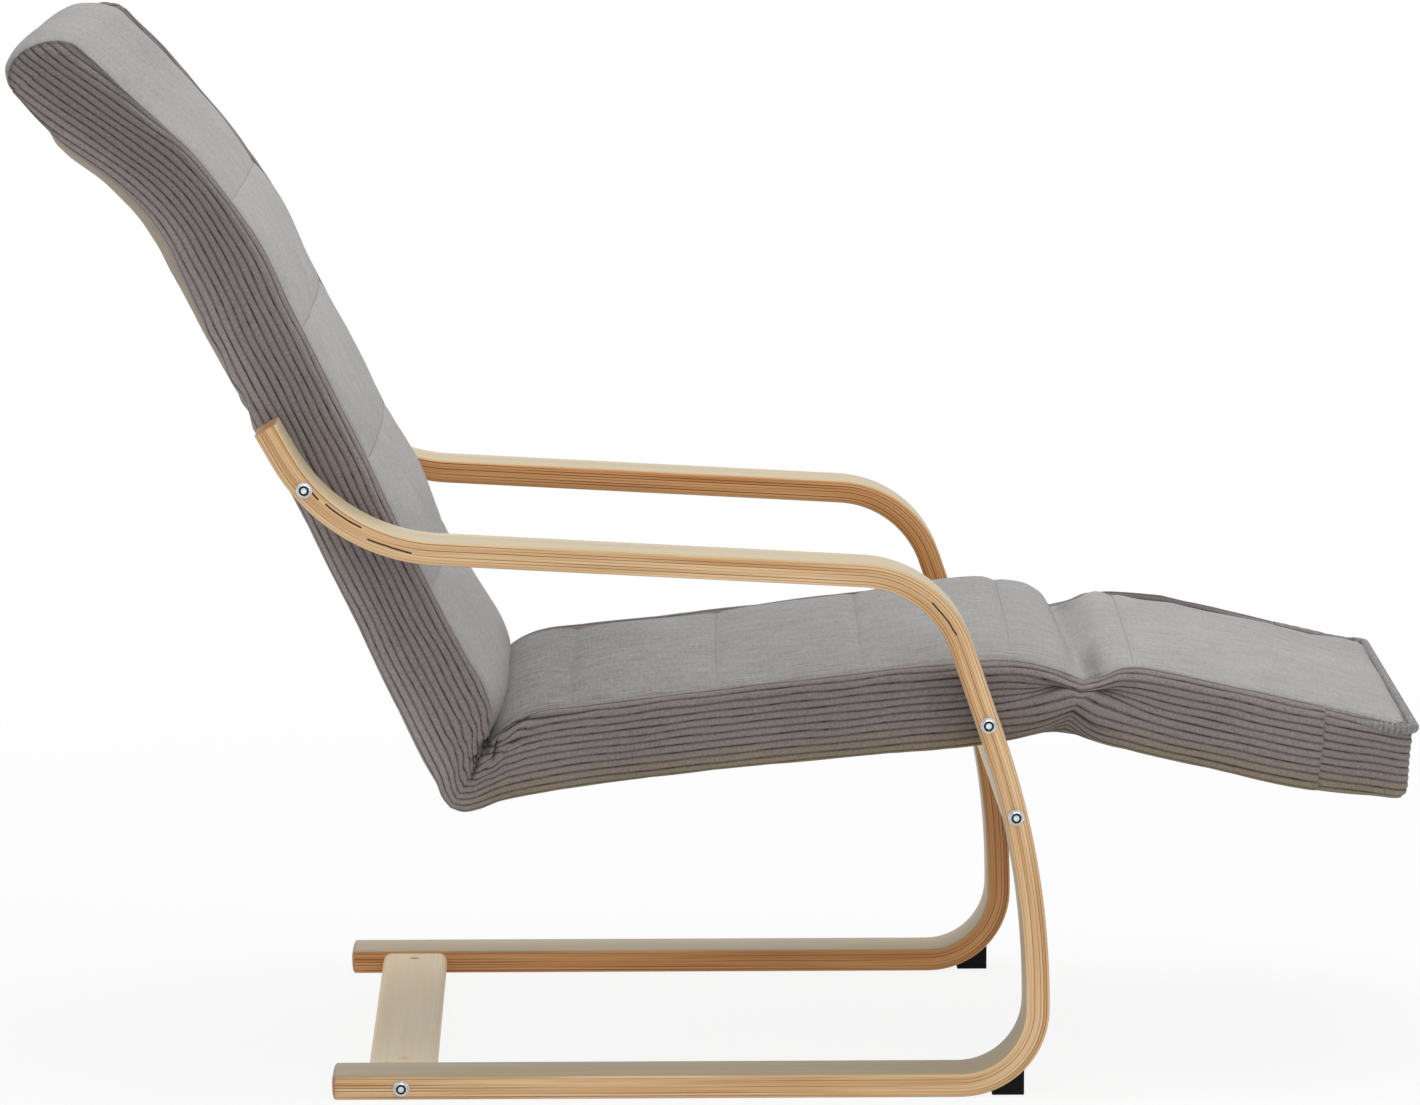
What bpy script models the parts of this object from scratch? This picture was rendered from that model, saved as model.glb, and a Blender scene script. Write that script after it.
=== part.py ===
"""Bentwood lounge recliner with a padded back, seat and adjustable footrest.

The side view is drawn in the X-Z plane, in metres: +X is the front, Z = 0 is the floor,
and X = 0 is the rear end of the floor rails. Every piece is carried across the chair
along Y, and the sitter's right-hand side is at -Y. A root empty then moves the whole
chair so that the origin is the middle of its footprint.
"""
from math import acos, ceil, cos, pi, radians, sin, tan

import bmesh
import bpy
from mathutils import Matrix, Vector

# Driving dimensions, in metres and degrees
# Side frames, bent from one laminated board each
BOARD_THICKNESS = 0.024
ARM_WIDTH = 0.065
INNER_WIDTH = 0.535
RAIL_LENGTH = 0.7155
RAIL_REAR_X = -0.003
ARM_BEND_X = 0.0045
ARM_BEND_HEIGHT = 0.557
ARM_SLOPE = 3.1
TIP_ANGLE = 60.5
TIP_LENGTH = 0.135
LEG_LEAN = 19.0
KNEE_HEIGHT = 0.2295
REAR_BEND_RADIUS = 0.185
ARM_BEND_RADIUS = 0.109
KNEE_RADIUS = 0.83
FLOOR_BEND_RADIUS = 0.077
EDGE_ROUND = 0.0025
END_BULGE = 0.0045

# Boards that tie the two side frames together
STRETCHER_X = 0.067
CROSSBAR_HEIGHT = 0.285
TIE_WIDTH = 0.069
TIE_THICKNESS = 0.020
TIE_ROUND = 0.008

# Feet under the front bends
FOOT_SETBACK = 0.0245
FOOT_DEPTH = 0.032
FOOT_INSET = 0.010

# Bolts, washers, barrel nuts and the sleeves that space the seat off the arms
BACK_BOLT_FROM_TIP = 0.070
SEAT_BOLT_HEIGHT = 0.378
BOLT_RADIUS = 0.0039
BOLT_HEAD_RADIUS = 0.0068
BOLT_HEAD_HEIGHT = 0.0042
SOCKET_RADIUS = 0.0029
SOCKET_DEPTH = 0.0026
WASHER_RADIUS = 0.0082
WASHER_THICKNESS = 0.0014
HOLE_PLAY = 0.0004
BARREL_RADIUS = 0.0050
BARREL_LENGTH = 0.013
BARREL_INSET = 0.025
SLEEVE_RADIUS = 0.0080

# Steel tube frame inside the cover
TUBE_RADIUS = 0.010
BACK_ANGLE = 25.5
SEAT_SLOPE = 6.9
BACK_BEND_ABOVE_BOLT = 0.302
HEAD_ANGLE = 50.5
HEAD_TUBE_LENGTH = 0.120
HEAD_BEND_RADIUS = 0.19
CORNER_BEND_RADIUS = 0.05
HEAD_RAIL_DROP = 0.022
BACK_RAIL_ABOVE_BOLT = 0.110
SEAT_REAR_RAIL = 0.070
SEAT_FRONT_RAIL = 0.470
STRAP_WIDTH = 0.050
STRAP_THICKNESS = 0.002
BACK_STRAP_START = -0.190
BACK_STRAP_PITCH = 0.120
BACK_STRAP_COUNT = 4
SEAT_STRAP_START = 0.200
SEAT_STRAP_PITCH = 0.140
SEAT_STRAP_COUNT = 2
FOOT_STRAP_START = 0.110
FOOT_STRAP_PITCH = 0.100
FOOT_STRAP_COUNT = 2

# Hinge between the seat frame and the footrest
PIVOT_AHEAD_OF_BOLT = 0.0865
TUBE_END_FROM_PIVOT = 0.026
PLATE_THICKNESS = 0.003
PLATE_END_RADIUS = 0.010
PLATE_LENGTH = 0.060
PIN_RADIUS = 0.0040
PIN_HEAD_RADIUS = 0.0065
PIN_HEAD_HEIGHT = 0.0020
SPRING_WASHER_THICKNESS = 0.0008
FOOT_SLOPE = 10.7
FOOT_LENGTH = 0.343
FOOT_TUBE_BEND_RADIUS = 0.040

# Cushions, sewn from boxed panels with sewn channels across the top
ARM_TO_CUSHION = 0.0075
SKIRT_THICKNESS = 0.007
BACK_CROWN = 0.004
SEAT_CROWN = 0.010
FOOT_CROWN = 0.008
DRAWN_IN = 0.004
EDGE_INSET = 0.003
CHANNEL_PITCH = 0.1445
CHANNEL_DEPTH = 0.005
CHANNEL_HALF_WIDTH = 0.012
CHANNEL_END_MARGIN = 0.075
BACK_BEHIND_TUBE = 0.0190
BACK_AHEAD_OF_TUBE = 0.067
BACK_FRONT_BEND_ABOVE_BOLT = 0.268
HEAD_FRONT_ANGLE = 43.4
HEAD_FRONT_RADIUS = 0.55
HEAD_REAR_RADIUS = 0.17
HEAD_REAR_LENGTH = 0.172
HEAD_FRONT_LENGTH = 0.255
HEAD_NOSE = 0.034
BACK_CHANNEL_START = 0.175
SEAT_BELOW_TUBE = 0.027
SEAT_ABOVE_TUBE = 0.062
SEAT_CHANNEL_START = 0.085
FOOT_BELOW_TUBE = 0.035
FOOT_ABOVE_TUBE = 0.0475
FOOT_END_ABOVE_TUBE = 0.041
FOOT_NOSE = 0.006
FOOT_CHANNEL_START = 0.060
CREASE_DEPTH = 0.018
CORNER_SOFTENING = 0.005
CORNER_REACH = 0.026
CORNER_RADIUS = 0.040
PINCH_HEIGHT = 0.0148
SEAT_BEVEL = 0.068
SEAT_NOSE_DROP = 0.026
FOOT_BEVEL = 0.031
FOOT_NOSE_RISE = 0.046
LINING_THICKNESS = 0.0015
LINING_SAG = 0.017

# Fits
GAP = 0.0003
SOFT_GAP = 0.0004
POCKET_CLEARANCE = 0.0010
ARC_ERROR = 0.0003
STATION_SPACING = 0.05

# Worked out from the driving dimensions
INNER_SIDE = INNER_WIDTH / 2
OUTER_SIDE = INNER_SIDE + ARM_WIDTH
CUSHION_HALF = INNER_SIDE - ARM_TO_CUSHION
SKIRT_FACE = CUSHION_HALF - DRAWN_IN - EDGE_INSET
POCKET_HALF = SKIRT_FACE - SKIRT_THICKNESS
HOLE_RADIUS = BOLT_RADIUS + HOLE_PLAY
HINGE_STACK = 2 * PLATE_THICKNESS + SPRING_WASHER_THICKNESS + PIN_HEAD_HEIGHT + 5 * GAP
TUBE_SIDE = POCKET_HALF - POCKET_CLEARANCE - HINGE_STACK - TUBE_RADIUS
FIXED_PLATE_SIDE = TUBE_SIDE + TUBE_RADIUS + GAP
SPRING_WASHER_SIDE = FIXED_PLATE_SIDE + PLATE_THICKNESS + GAP
MOVING_PLATE_SIDE = SPRING_WASHER_SIDE + SPRING_WASHER_THICKNESS + GAP
PIN_HEAD_SIDE = MOVING_PLATE_SIDE + PLATE_THICKNESS + GAP
FOOT_TUBE_SIDE = MOVING_PLATE_SIDE - GAP - TUBE_RADIUS
POCKET_CEILING = TUBE_RADIUS + STRAP_THICKNESS + 2 * GAP + SOFT_GAP
BOLT_LENGTH = OUTER_SIDE + WASHER_THICKNESS + 2 * GAP - (TUBE_SIDE - 0.6 * TUBE_RADIUS)
SIDES = {"right": -1, "left": 1}

for old in list(bpy.data.objects):
    bpy.data.objects.remove(old, do_unlink=True)


# Plane geometry: points are 2D vectors (x, z) of the side view
def heading(angle):
    """Unit direction at an angle above +X."""
    return Vector((cos(radians(angle)), sin(radians(angle))))


def left_of(direction):
    """Direction turned a quarter turn to the left."""
    return Vector((-direction[1], direction[0]))


def meet(point_a, direction_a, point_b, direction_b):
    """Point where two lines cross."""
    normal = left_of(direction_b)
    reach = (point_b - point_a).dot(normal) / direction_a.dot(normal)
    return point_a + direction_a * reach


def arc_steps(radius, angle):
    """Number of chords that keep an arc within ARC_ERROR of round."""
    step = 2 * acos(1 - min(ARC_ERROR / radius, 0.2))
    return max(2, ceil(angle / step))


def round_corners(points, radii):
    """Polyline through points, with an arc of the given radius at each inner one."""
    path = [points[0]]
    for before, corner, after, radius in zip(points, points[1:], points[2:], radii):
        to_before = (before - corner).normalized()
        to_after = (after - corner).normalized()
        opening = to_before.angle(to_after)
        centre = corner + (to_before + to_after).normalized() * (radius / sin(opening / 2))
        spoke = corner + to_before * (radius / tan(opening / 2)) - centre
        turn = pi - opening
        if to_before.cross(to_after) > 0:
            turn = -turn
        count = arc_steps(radius, abs(turn))
        path += [centre + Matrix.Rotation(turn * i / count, 2) @ spoke for i in range(count + 1)]
    path.append(points[-1])
    return path


def offset_path(path, distances):
    """Path moved to its left, by one distance or by one for each point."""
    if not isinstance(distances, list):
        distances = [distances] * len(path)
    moved = []
    for i, point in enumerate(path):
        ahead = (path[min(i + 1, len(path) - 1)] - path[min(i, len(path) - 2)]).normalized()
        behind = (path[max(i, 1)] - path[max(i - 1, 0)]).normalized()
        normal = (left_of(ahead) + left_of(behind)).normalized()
        moved.append(point + normal * (distances[i] / normal.dot(left_of(ahead))))
    return moved


def path_length(path):
    """Length of a polyline."""
    return sum((b - a).length for a, b in zip(path, path[1:]))


def point_along(path, distance):
    """Point of a polyline at a distance from its start."""
    for a, b in zip(path, path[1:]):
        span = (b - a).length
        if distance <= span:
            return a + (b - a) * (distance / span)
        distance -= span
    return path[-1].copy()


def stretch(path, start, end):
    """The part of a polyline between two distances from its start."""
    points = [point_along(path, start)]
    travelled = 0.0
    for a, b in zip(path, path[1:]):
        travelled += (b - a).length
        if start + GAP < travelled < end - GAP:
            points.append(b)
    points.append(point_along(path, end))
    return points


def circle(centre, radius, count):
    """Closed ring of points."""
    return [centre + heading(360 * i / count) * radius for i in range(count)]


def bulged_end(start, end, bulge, count):
    """Points of an arc from start to end that swells to the right by bulge."""
    half = (end - start).length / 2
    radius = (half * half + bulge * bulge) / (2 * bulge)
    along = (end - start).normalized()
    out = -left_of(along)
    middle = (start + end) / 2 + out * (bulge - radius)
    reach = acos(max(-1.0, (radius - bulge) / radius))
    angles = [reach * (2 * i / count - 1) for i in range(1, count)]
    return [middle + along * (radius * sin(a)) + out * (radius * cos(a)) for a in angles]


def rounded_rectangle(centre, along, length, width, radius):
    """Closed outline of a rectangle with round corners."""
    across = left_of(along)
    corners = [(-1, -1), (1, -1), (1, 1), (-1, 1)]
    points = [centre + along * (a * length / 2) + across * (b * width / 2) for a, b in corners]
    ring = [(points[0] + points[3]) / 2] + points + [(points[0] + points[3]) / 2]
    return round_corners(ring, [radius] * 4)[:-1]


def link_outline(near, far, near_radius, far_radius, count=8):
    """Closed outline of a flat link with two round ends."""
    along = (far - near).normalized()
    lean = acos((near_radius - far_radius) / (far - near).length)
    outline = []
    for centre, radius, first, last in ((far, far_radius, -lean, lean),
                                        (near, near_radius, lean, 2 * pi - lean)):
        for i in range(count + 1):
            turn = Matrix.Rotation(first + (last - first) * i / count, 2)
            outline.append(centre + turn @ along * radius)
    return outline


# Blender helpers
def collection(name):
    """New collection in the scene."""
    made = bpy.data.collections.new(name)
    bpy.context.scene.collection.children.link(made)
    return made


def finish_of(name, colour, roughness, metallic=0.0):
    """Principled material."""
    made = bpy.data.materials.new(name)
    made.use_nodes = True
    shader = made.node_tree.nodes["Principled BSDF"]
    shader.inputs["Base Color"].default_value = (*colour, 1.0)
    shader.inputs["Roughness"].default_value = roughness
    shader.inputs["Metallic"].default_value = metallic
    return made


PARTS = collection("lounge_recliner")
CUTTERS = collection("cutters")
BIRCH = finish_of("birch_ply", (0.66, 0.42, 0.21), 0.42)
PALE_BIRCH = finish_of("birch_veneer", (0.78, 0.62, 0.40), 0.45)
CORDUROY = finish_of("grey_corduroy", (0.20, 0.18, 0.18), 0.95)
LINING = finish_of("beige_lining", (0.36, 0.31, 0.25), 0.95)
WEBBING = finish_of("webbing", (0.05, 0.05, 0.05), 0.90)
STEEL = finish_of("black_steel", (0.03, 0.03, 0.03), 0.50, 0.6)
ZINC = finish_of("zinc", (0.72, 0.73, 0.75), 0.30, 1.0)
RUBBER = finish_of("black_rubber", (0.02, 0.02, 0.02), 0.80)

ROOT = bpy.data.objects.new("recliner", None)
HINGE = bpy.data.objects.new("footrest_hinge", None)
PARTS.objects.link(ROOT)
PARTS.objects.link(HINGE)


def adopt(obj, finish, parent=None, home=PARTS):
    """Link an object drawn in chair coordinates, give it a finish and a parent."""
    home.objects.link(obj)
    parent = parent or ROOT
    obj.parent = parent
    if parent is HINGE:
        obj.matrix_parent_inverse = Matrix.Translation(-HINGE.location)
    if finish:
        obj.data.materials.append(finish)
    return obj


def side_view(y):
    """Frame that stands a flat drawing up in the X-Z plane at a given Y."""
    return Matrix.Translation((0, y, 0)) @ Matrix.Rotation(pi / 2, 4, "X")


def slab(name, outline, thickness, frame, holes=(), rounding=0.0):
    """Flat outline with holes, thickened evenly about the plane of its frame."""
    drawing = bpy.data.curves.new(name, "CURVE")
    drawing.dimensions = "2D"
    drawing.fill_mode = "BOTH"
    drawing.extrude = thickness / 2 - rounding
    drawing.bevel_depth = rounding
    drawing.bevel_resolution = 1
    drawing.offset = -rounding
    for points in (outline, *holes):
        spline = drawing.splines.new("POLY")
        spline.points.add(len(points) - 1)
        spline.use_cyclic_u = True
        for target, point in zip(spline.points, points):
            target.co = (point[0], point[1], 0, 1)
    obj = bpy.data.objects.new(name, drawing)
    obj.matrix_world = frame
    return obj


def tube(name, points, radius):
    """Round bar along 3D points."""
    path = bpy.data.curves.new(name, "CURVE")
    path.dimensions = "3D"
    path.bevel_depth = radius
    path.bevel_resolution = 2
    path.use_fill_caps = True
    spline = path.splines.new("POLY")
    spline.points.add(len(points) - 1)
    for target, point in zip(spline.points, points):
        target.co = (*point, 1)
    return bpy.data.objects.new(name, path)


def as_mesh(obj):
    """Turn a curve object, or one with modifiers, into a welded mesh object."""
    holder = bpy.context.scene.collection
    holder.objects.link(obj)
    graph = bpy.context.evaluated_depsgraph_get()
    mesh = bpy.data.meshes.new_from_object(obj.evaluated_get(graph))
    work = bmesh.new()
    work.from_mesh(mesh)
    bmesh.ops.remove_doubles(work, verts=work.verts, dist=1e-6)
    bmesh.ops.recalc_face_normals(work, faces=work.faces)
    work.to_mesh(mesh)
    work.free()
    made = bpy.data.objects.new(obj.name, mesh)
    made.matrix_world = obj.matrix_world.copy()
    name = obj.name
    bpy.data.objects.remove(obj, do_unlink=True)
    made.name = name
    return made


def turned(name, profile, closed=False, steps=16):
    """Profile of (radius, height) points turned about Z."""
    mesh = bpy.data.meshes.new(name)
    count = len(profile)
    edges = [(i, i + 1) for i in range(count - 1)]
    if closed:
        edges.append((count - 1, 0))
    mesh.from_pydata([(r, 0, h) for r, h in profile], edges, [])
    obj = bpy.data.objects.new(name, mesh)
    screw = obj.modifiers.new("turn", "SCREW")
    screw.steps = steps
    screw.render_steps = steps
    screw.use_merge_vertices = True
    screw.merge_threshold = 0.00001
    screw.use_smooth_shade = False
    return obj


def cut(obj, cutter):
    """Take a cutter's shape out of an object."""
    boolean = obj.modifiers.new(cutter.name, "BOOLEAN")
    boolean.operation = "DIFFERENCE"
    boolean.solver = "EXACT"
    boolean.object = cutter


def as_cutter(obj, parent=None):
    """Keep an object as a hidden cutter."""
    made = as_mesh(obj)
    adopt(made, None, parent, CUTTERS)
    made.hide_render = True
    made.display_type = "WIRE"
    return made


def bar_cutter(name, centre, radius, y_low, y_high, parent=None, count=12):
    """Round cutter along Y."""
    frame = side_view((y_low + y_high) / 2)
    return as_cutter(slab(name, circle(centre, radius, count), y_high - y_low, frame), parent)


def smooth(obj, angle=35):
    """Shade round surfaces smooth and keep the edges sharp."""
    obj.data.shade_smooth()
    obj.data.set_sharp_from_angle(angle=radians(angle))


# Side view of the bent frame: tip, rear bend, arm, front bend, leg, floor bend, rail
ARM_DIRECTION = heading(-ARM_SLOPE)
LEG_DIRECTION = heading(LEG_LEAN - 90)
REAR_CORNER = Vector((ARM_BEND_X, ARM_BEND_HEIGHT))
TIP = REAR_CORNER + heading(180 - TIP_ANGLE) * TIP_LENGTH
KNEE = Vector((RAIL_LENGTH - BOARD_THICKNESS / 2, KNEE_HEIGHT))
FRONT_CORNER = meet(REAR_CORNER, ARM_DIRECTION, KNEE, LEG_DIRECTION)
FLOOR_CORNER = Vector((KNEE.x, BOARD_THICKNESS / 2))
RAIL_END = Vector((RAIL_REAR_X + END_BULGE, BOARD_THICKNESS / 2))
KNEE_LIMIT = (KNEE.y - FLOOR_CORNER.y - FLOOR_BEND_RADIUS) / tan(radians(LEG_LEAN / 2))
FRAME_PATH = round_corners(
    [TIP, REAR_CORNER, FRONT_CORNER, KNEE, FLOOR_CORNER, RAIL_END],
    [REAR_BEND_RADIUS, ARM_BEND_RADIUS, min(KNEE_RADIUS, KNEE_LIMIT), FLOOR_BEND_RADIUS])


def leg_point(height):
    """Point and downward direction of the leg's middle line at a height."""
    for a, b in zip(FRAME_PATH, FRAME_PATH[1:]):
        if a.y >= height >= b.y and a.x > FRONT_CORNER.x:
            return a + (b - a) * ((a.y - height) / (a.y - b.y)), (b - a).normalized()
    raise ValueError("no leg at this height")


BACK_BOLT = point_along(FRAME_PATH, BACK_BOLT_FROM_TIP)
SEAT_BOLT = leg_point(SEAT_BOLT_HEIGHT)[0]
CROSSBAR_BOLT, CROSSBAR_DIRECTION = leg_point(CROSSBAR_HEIGHT)
STRETCHER_BOLT = Vector((STRETCHER_X, BOARD_THICKNESS / 2))
BOLTS = {"back": BACK_BOLT, "seat": SEAT_BOLT, "crossbar": CROSSBAR_BOLT, "stretcher": STRETCHER_BOLT}

# Side view of the tube frame: head, back, seat, and the footrest ahead of the pivot
UP_BACK = heading(90 + BACK_ANGLE)
UP_HEAD = heading(90 + HEAD_ANGLE)
UP_HEAD_FRONT = heading(90 + HEAD_FRONT_ANGLE)
ALONG_SEAT = heading(SEAT_SLOPE)
ALONG_FOOT = heading(-FOOT_SLOPE)
BACK_FRONT_NORMAL = -left_of(UP_BACK)
HEAD_FRONT_NORMAL = -left_of(UP_HEAD)
SEAT_NORMAL = left_of(ALONG_SEAT)
FOOT_NORMAL = left_of(ALONG_FOOT)
TUBE_CORNER = meet(BACK_BOLT, UP_BACK, SEAT_BOLT, ALONG_SEAT)
PIVOT = SEAT_BOLT + ALONG_SEAT * PIVOT_AHEAD_OF_BOLT
HEAD_BEND = BACK_BOLT + UP_BACK * BACK_BEND_ABOVE_BOLT
TUBE_HEAD_END = HEAD_BEND + UP_HEAD * HEAD_TUBE_LENGTH
TUBE_SEAT_END = PIVOT - ALONG_SEAT * TUBE_END_FROM_PIVOT
TUBE_PATH = round_corners([TUBE_HEAD_END, HEAD_BEND, TUBE_CORNER, TUBE_SEAT_END],
                          [HEAD_BEND_RADIUS, CORNER_BEND_RADIUS])

# Side view of the cushions: a rear or under line and a front or top line for each
REAR_LINE = TUBE_CORNER - BACK_FRONT_NORMAL * BACK_BEHIND_TUBE
FRONT_LINE = TUBE_CORNER + BACK_FRONT_NORMAL * BACK_AHEAD_OF_TUBE
UNDER_LINE = TUBE_CORNER - SEAT_NORMAL * SEAT_BELOW_TUBE
TOP_LINE = TUBE_CORNER + SEAT_NORMAL * SEAT_ABOVE_TUBE
OUTER_CORNER = meet(REAR_LINE, UP_BACK, UNDER_LINE, ALONG_SEAT)
INNER_CORNER = meet(FRONT_LINE, UP_BACK, TOP_LINE, ALONG_SEAT)
MITRE = (INNER_CORNER - OUTER_CORNER).normalized()
LOW_CREASE = OUTER_CORNER + MITRE * CORNER_SOFTENING
HIGH_CREASE = INNER_CORNER - MITRE * CREASE_DEPTH
PINCH = PIVOT + Vector((0, PINCH_HEIGHT))

REAR_BEND = meet(REAR_LINE, UP_BACK, HEAD_BEND - HEAD_FRONT_NORMAL * BACK_BEHIND_TUBE, UP_HEAD)
FRONT_BEND = BACK_BOLT + UP_BACK * BACK_FRONT_BEND_ABOVE_BOLT + BACK_FRONT_NORMAL * BACK_AHEAD_OF_TUBE
BACK_REAR = round_corners(
    [LOW_CREASE, OUTER_CORNER + UP_BACK * CORNER_REACH, REAR_BEND,
     REAR_BEND + UP_HEAD * HEAD_REAR_LENGTH],
    [CORNER_RADIUS, HEAD_REAR_RADIUS])
BACK_FRONT = round_corners(
    [HIGH_CREASE, INNER_CORNER + UP_BACK * 2 * CREASE_DEPTH, FRONT_BEND,
     FRONT_BEND + UP_HEAD_FRONT * HEAD_FRONT_LENGTH],
    [2 * CREASE_DEPTH, HEAD_FRONT_RADIUS])

TOP_AT_PIVOT = PIVOT + SEAT_NORMAL * SEAT_ABOVE_TUBE
SEAT_UNDER = round_corners(
    [LOW_CREASE, OUTER_CORNER + ALONG_SEAT * CORNER_REACH,
     PIVOT - SEAT_NORMAL * SEAT_BELOW_TUBE - ALONG_SEAT * SEAT_BEVEL, PIVOT],
    [CORNER_RADIUS, SEAT_BEVEL / 2])
SEAT_TOP = round_corners(
    [HIGH_CREASE, INNER_CORNER + ALONG_SEAT * 2 * CREASE_DEPTH,
     TOP_AT_PIVOT - ALONG_SEAT * SEAT_NOSE_DROP, PINCH - ALONG_SEAT * PINCH_HEIGHT / 2, PINCH],
    [2 * CREASE_DEPTH, SEAT_NOSE_DROP * 0.7, PINCH_HEIGHT / 3])

FOOT_UNDER = round_corners(
    [PIVOT, PIVOT + ALONG_FOOT * FOOT_BEVEL - FOOT_NORMAL * FOOT_BELOW_TUBE,
     PIVOT + ALONG_FOOT * FOOT_LENGTH - FOOT_NORMAL * FOOT_BELOW_TUBE],
    [FOOT_BEVEL * 0.6])
FOOT_TOP = round_corners(
    [PINCH, PINCH + ALONG_FOOT * PINCH_HEIGHT / 2,
     PIVOT + ALONG_FOOT * FOOT_NOSE_RISE + FOOT_NORMAL * FOOT_ABOVE_TUBE,
     PIVOT + ALONG_FOOT * FOOT_LENGTH + FOOT_NORMAL * FOOT_END_ABOVE_TUBE],
    [PINCH_HEIGHT / 3, FOOT_NOSE_RISE * 0.8])

HINGE.parent = ROOT
HINGE.location = (PIVOT.x, 0, PIVOT.y)


# Cushions
# Half of a cross-section: up the boxed side, as inset and share of the thickness,
# then over the top, as share of the half width and share of the crown
SIDE_SECTION = ((EDGE_INSET, 0.0), (0.0, 0.30), (0.0, 0.62), (0.7 * EDGE_INSET, 0.86),
                (3 * EDGE_INSET, 0.975))
TOP_SECTION = ((0.86, 0.32), (0.62, 0.70), (0.32, 0.93), (0.0, 1.0))


def channel_places(top, start):
    """Distances of the sewn channels along a top line, as many as fit before its end."""
    count = 1 + int((path_length(top) - CHANNEL_END_MARGIN - start) / CHANNEL_PITCH)
    return [start + i * CHANNEL_PITCH for i in range(count)]


def station_list(length, channels):
    """Distances of the cross-sections: three at each channel, and some between."""
    marks = [SOFT_GAP]
    for place in channels:
        marks += [place - CHANNEL_HALF_WIDTH, place, place + CHANNEL_HALF_WIDTH]
    marks.append(length - SOFT_GAP)
    stations = []
    for a, b in zip(marks, marks[1:]):
        parts = max(1, ceil((b - a) / STATION_SPACING))
        stations += [a + (b - a) * i / parts for i in range(parts)]
    return stations + [marks[-1]]


def section(under, top, half_width, crown, channel_depth):
    """Ring of 3D points round one cross-section of a cushion."""
    rise = top - under
    up = rise.normalized()
    half_ring = [(half_width - inset, under + rise * share) for inset, share in SIDE_SECTION]
    for across, share in TOP_SECTION:
        dip = channel_depth * (1 - across ** 6)
        half_ring.append((across * half_width, top + up * (crown * share - dip)))
    ring = half_ring + [(-y, point) for y, point in reversed(half_ring[:-1])]
    return [(point.x, y, point.y) for y, point in ring]


def cushion_mesh(name, under, top, crown, channels, noses):
    """Loft cross-sections from the under line to the top line, then over rounded noses."""
    length = path_length(top)
    share = path_length(under) / length
    rings = []
    for distance in station_list(length, channels):
        depth = CHANNEL_DEPTH if any(abs(distance - c) < 1e-6 for c in channels) else 0.0
        pulled = DRAWN_IN * sin(pi * distance / length)
        rings.append(section(point_along(under, distance * share), point_along(top, distance),
                             CUSHION_HALF - pulled, crown, depth))
    low = point_along(under, (length - SOFT_GAP) * share)
    high = point_along(top, length - SOFT_GAP)
    middle = (low + high) / 2
    outward = -left_of((high - low).normalized())
    if outward.dot(top[-1] - top[-2]) < 0:
        outward = -outward
    for advance, scale in noses:
        shift = middle + outward * advance
        rings.append(section(shift + (low - middle) * scale, shift + (high - middle) * scale,
                             CUSHION_HALF - (1 - scale) * HEAD_NOSE / 2, crown * scale, 0.0))
    count = len(rings[0])
    faces = [tuple(reversed(range(count)))]
    for r in range(len(rings) - 1):
        for i in range(count):
            j = (i + 1) % count
            faces.append((r * count + i, r * count + j, (r + 1) * count + j, (r + 1) * count + i))
    faces.append(tuple(range((len(rings) - 1) * count, len(rings) * count)))
    mesh = bpy.data.meshes.new(name)
    mesh.from_pydata([point for ring in rings for point in ring], [], faces)
    work = bmesh.new()
    work.from_mesh(mesh)
    bmesh.ops.recalc_face_normals(work, faces=work.faces)
    work.to_mesh(mesh)
    work.free()
    return mesh, rings


def round_nose(length):
    """Advance and scale of the cross-sections over a half-round end."""
    return [(length * sin(radians(a)), cos(radians(a))) for a in (25, 48, 66, 80)]


BACK_MESH, BACK_RINGS = cushion_mesh(
    "back_cushion", BACK_REAR, BACK_FRONT, BACK_CROWN,
    channel_places(BACK_FRONT, BACK_CHANNEL_START), round_nose(HEAD_NOSE))
SEAT_MESH, SEAT_RINGS = cushion_mesh(
    "seat_cushion", SEAT_UNDER, SEAT_TOP, SEAT_CROWN,
    channel_places(SEAT_TOP, SEAT_CHANNEL_START), [])
FOOT_MESH, FOOT_RINGS = cushion_mesh(
    "footrest_cushion", FOOT_UNDER, FOOT_TOP, FOOT_CROWN,
    channel_places(FOOT_TOP, FOOT_CHANNEL_START), [(FOOT_NOSE * 0.6, 0.95), (FOOT_NOSE, 0.84)])

REAR_MOST = min(point[0] for ring in BACK_RINGS for point in ring)
FRONT_MOST = max(point[0] for ring in FOOT_RINGS for point in ring)
ROOT.location = (-(REAR_MOST + FRONT_MOST) / 2, 0, 0)

back_cushion = adopt(bpy.data.objects.new("back_cushion", BACK_MESH), CORDUROY)
seat_cushion = adopt(bpy.data.objects.new("seat_cushion", SEAT_MESH), CORDUROY)
footrest_cushion = adopt(bpy.data.objects.new("footrest_cushion", FOOT_MESH), CORDUROY, HINGE)
for soft in (back_cushion, seat_cushion, footrest_cushion):
    smooth(soft, 50)


def pocket_cutter(name, path, depth, parent=None):
    """Space for tubes and straps, open to the rear or underside of a cushion."""
    outline = offset_path(path, POCKET_CEILING) + offset_path(path, -depth)[::-1]
    return as_cutter(slab(name, outline, 2 * POCKET_HALF, side_view(0)), parent)


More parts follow.
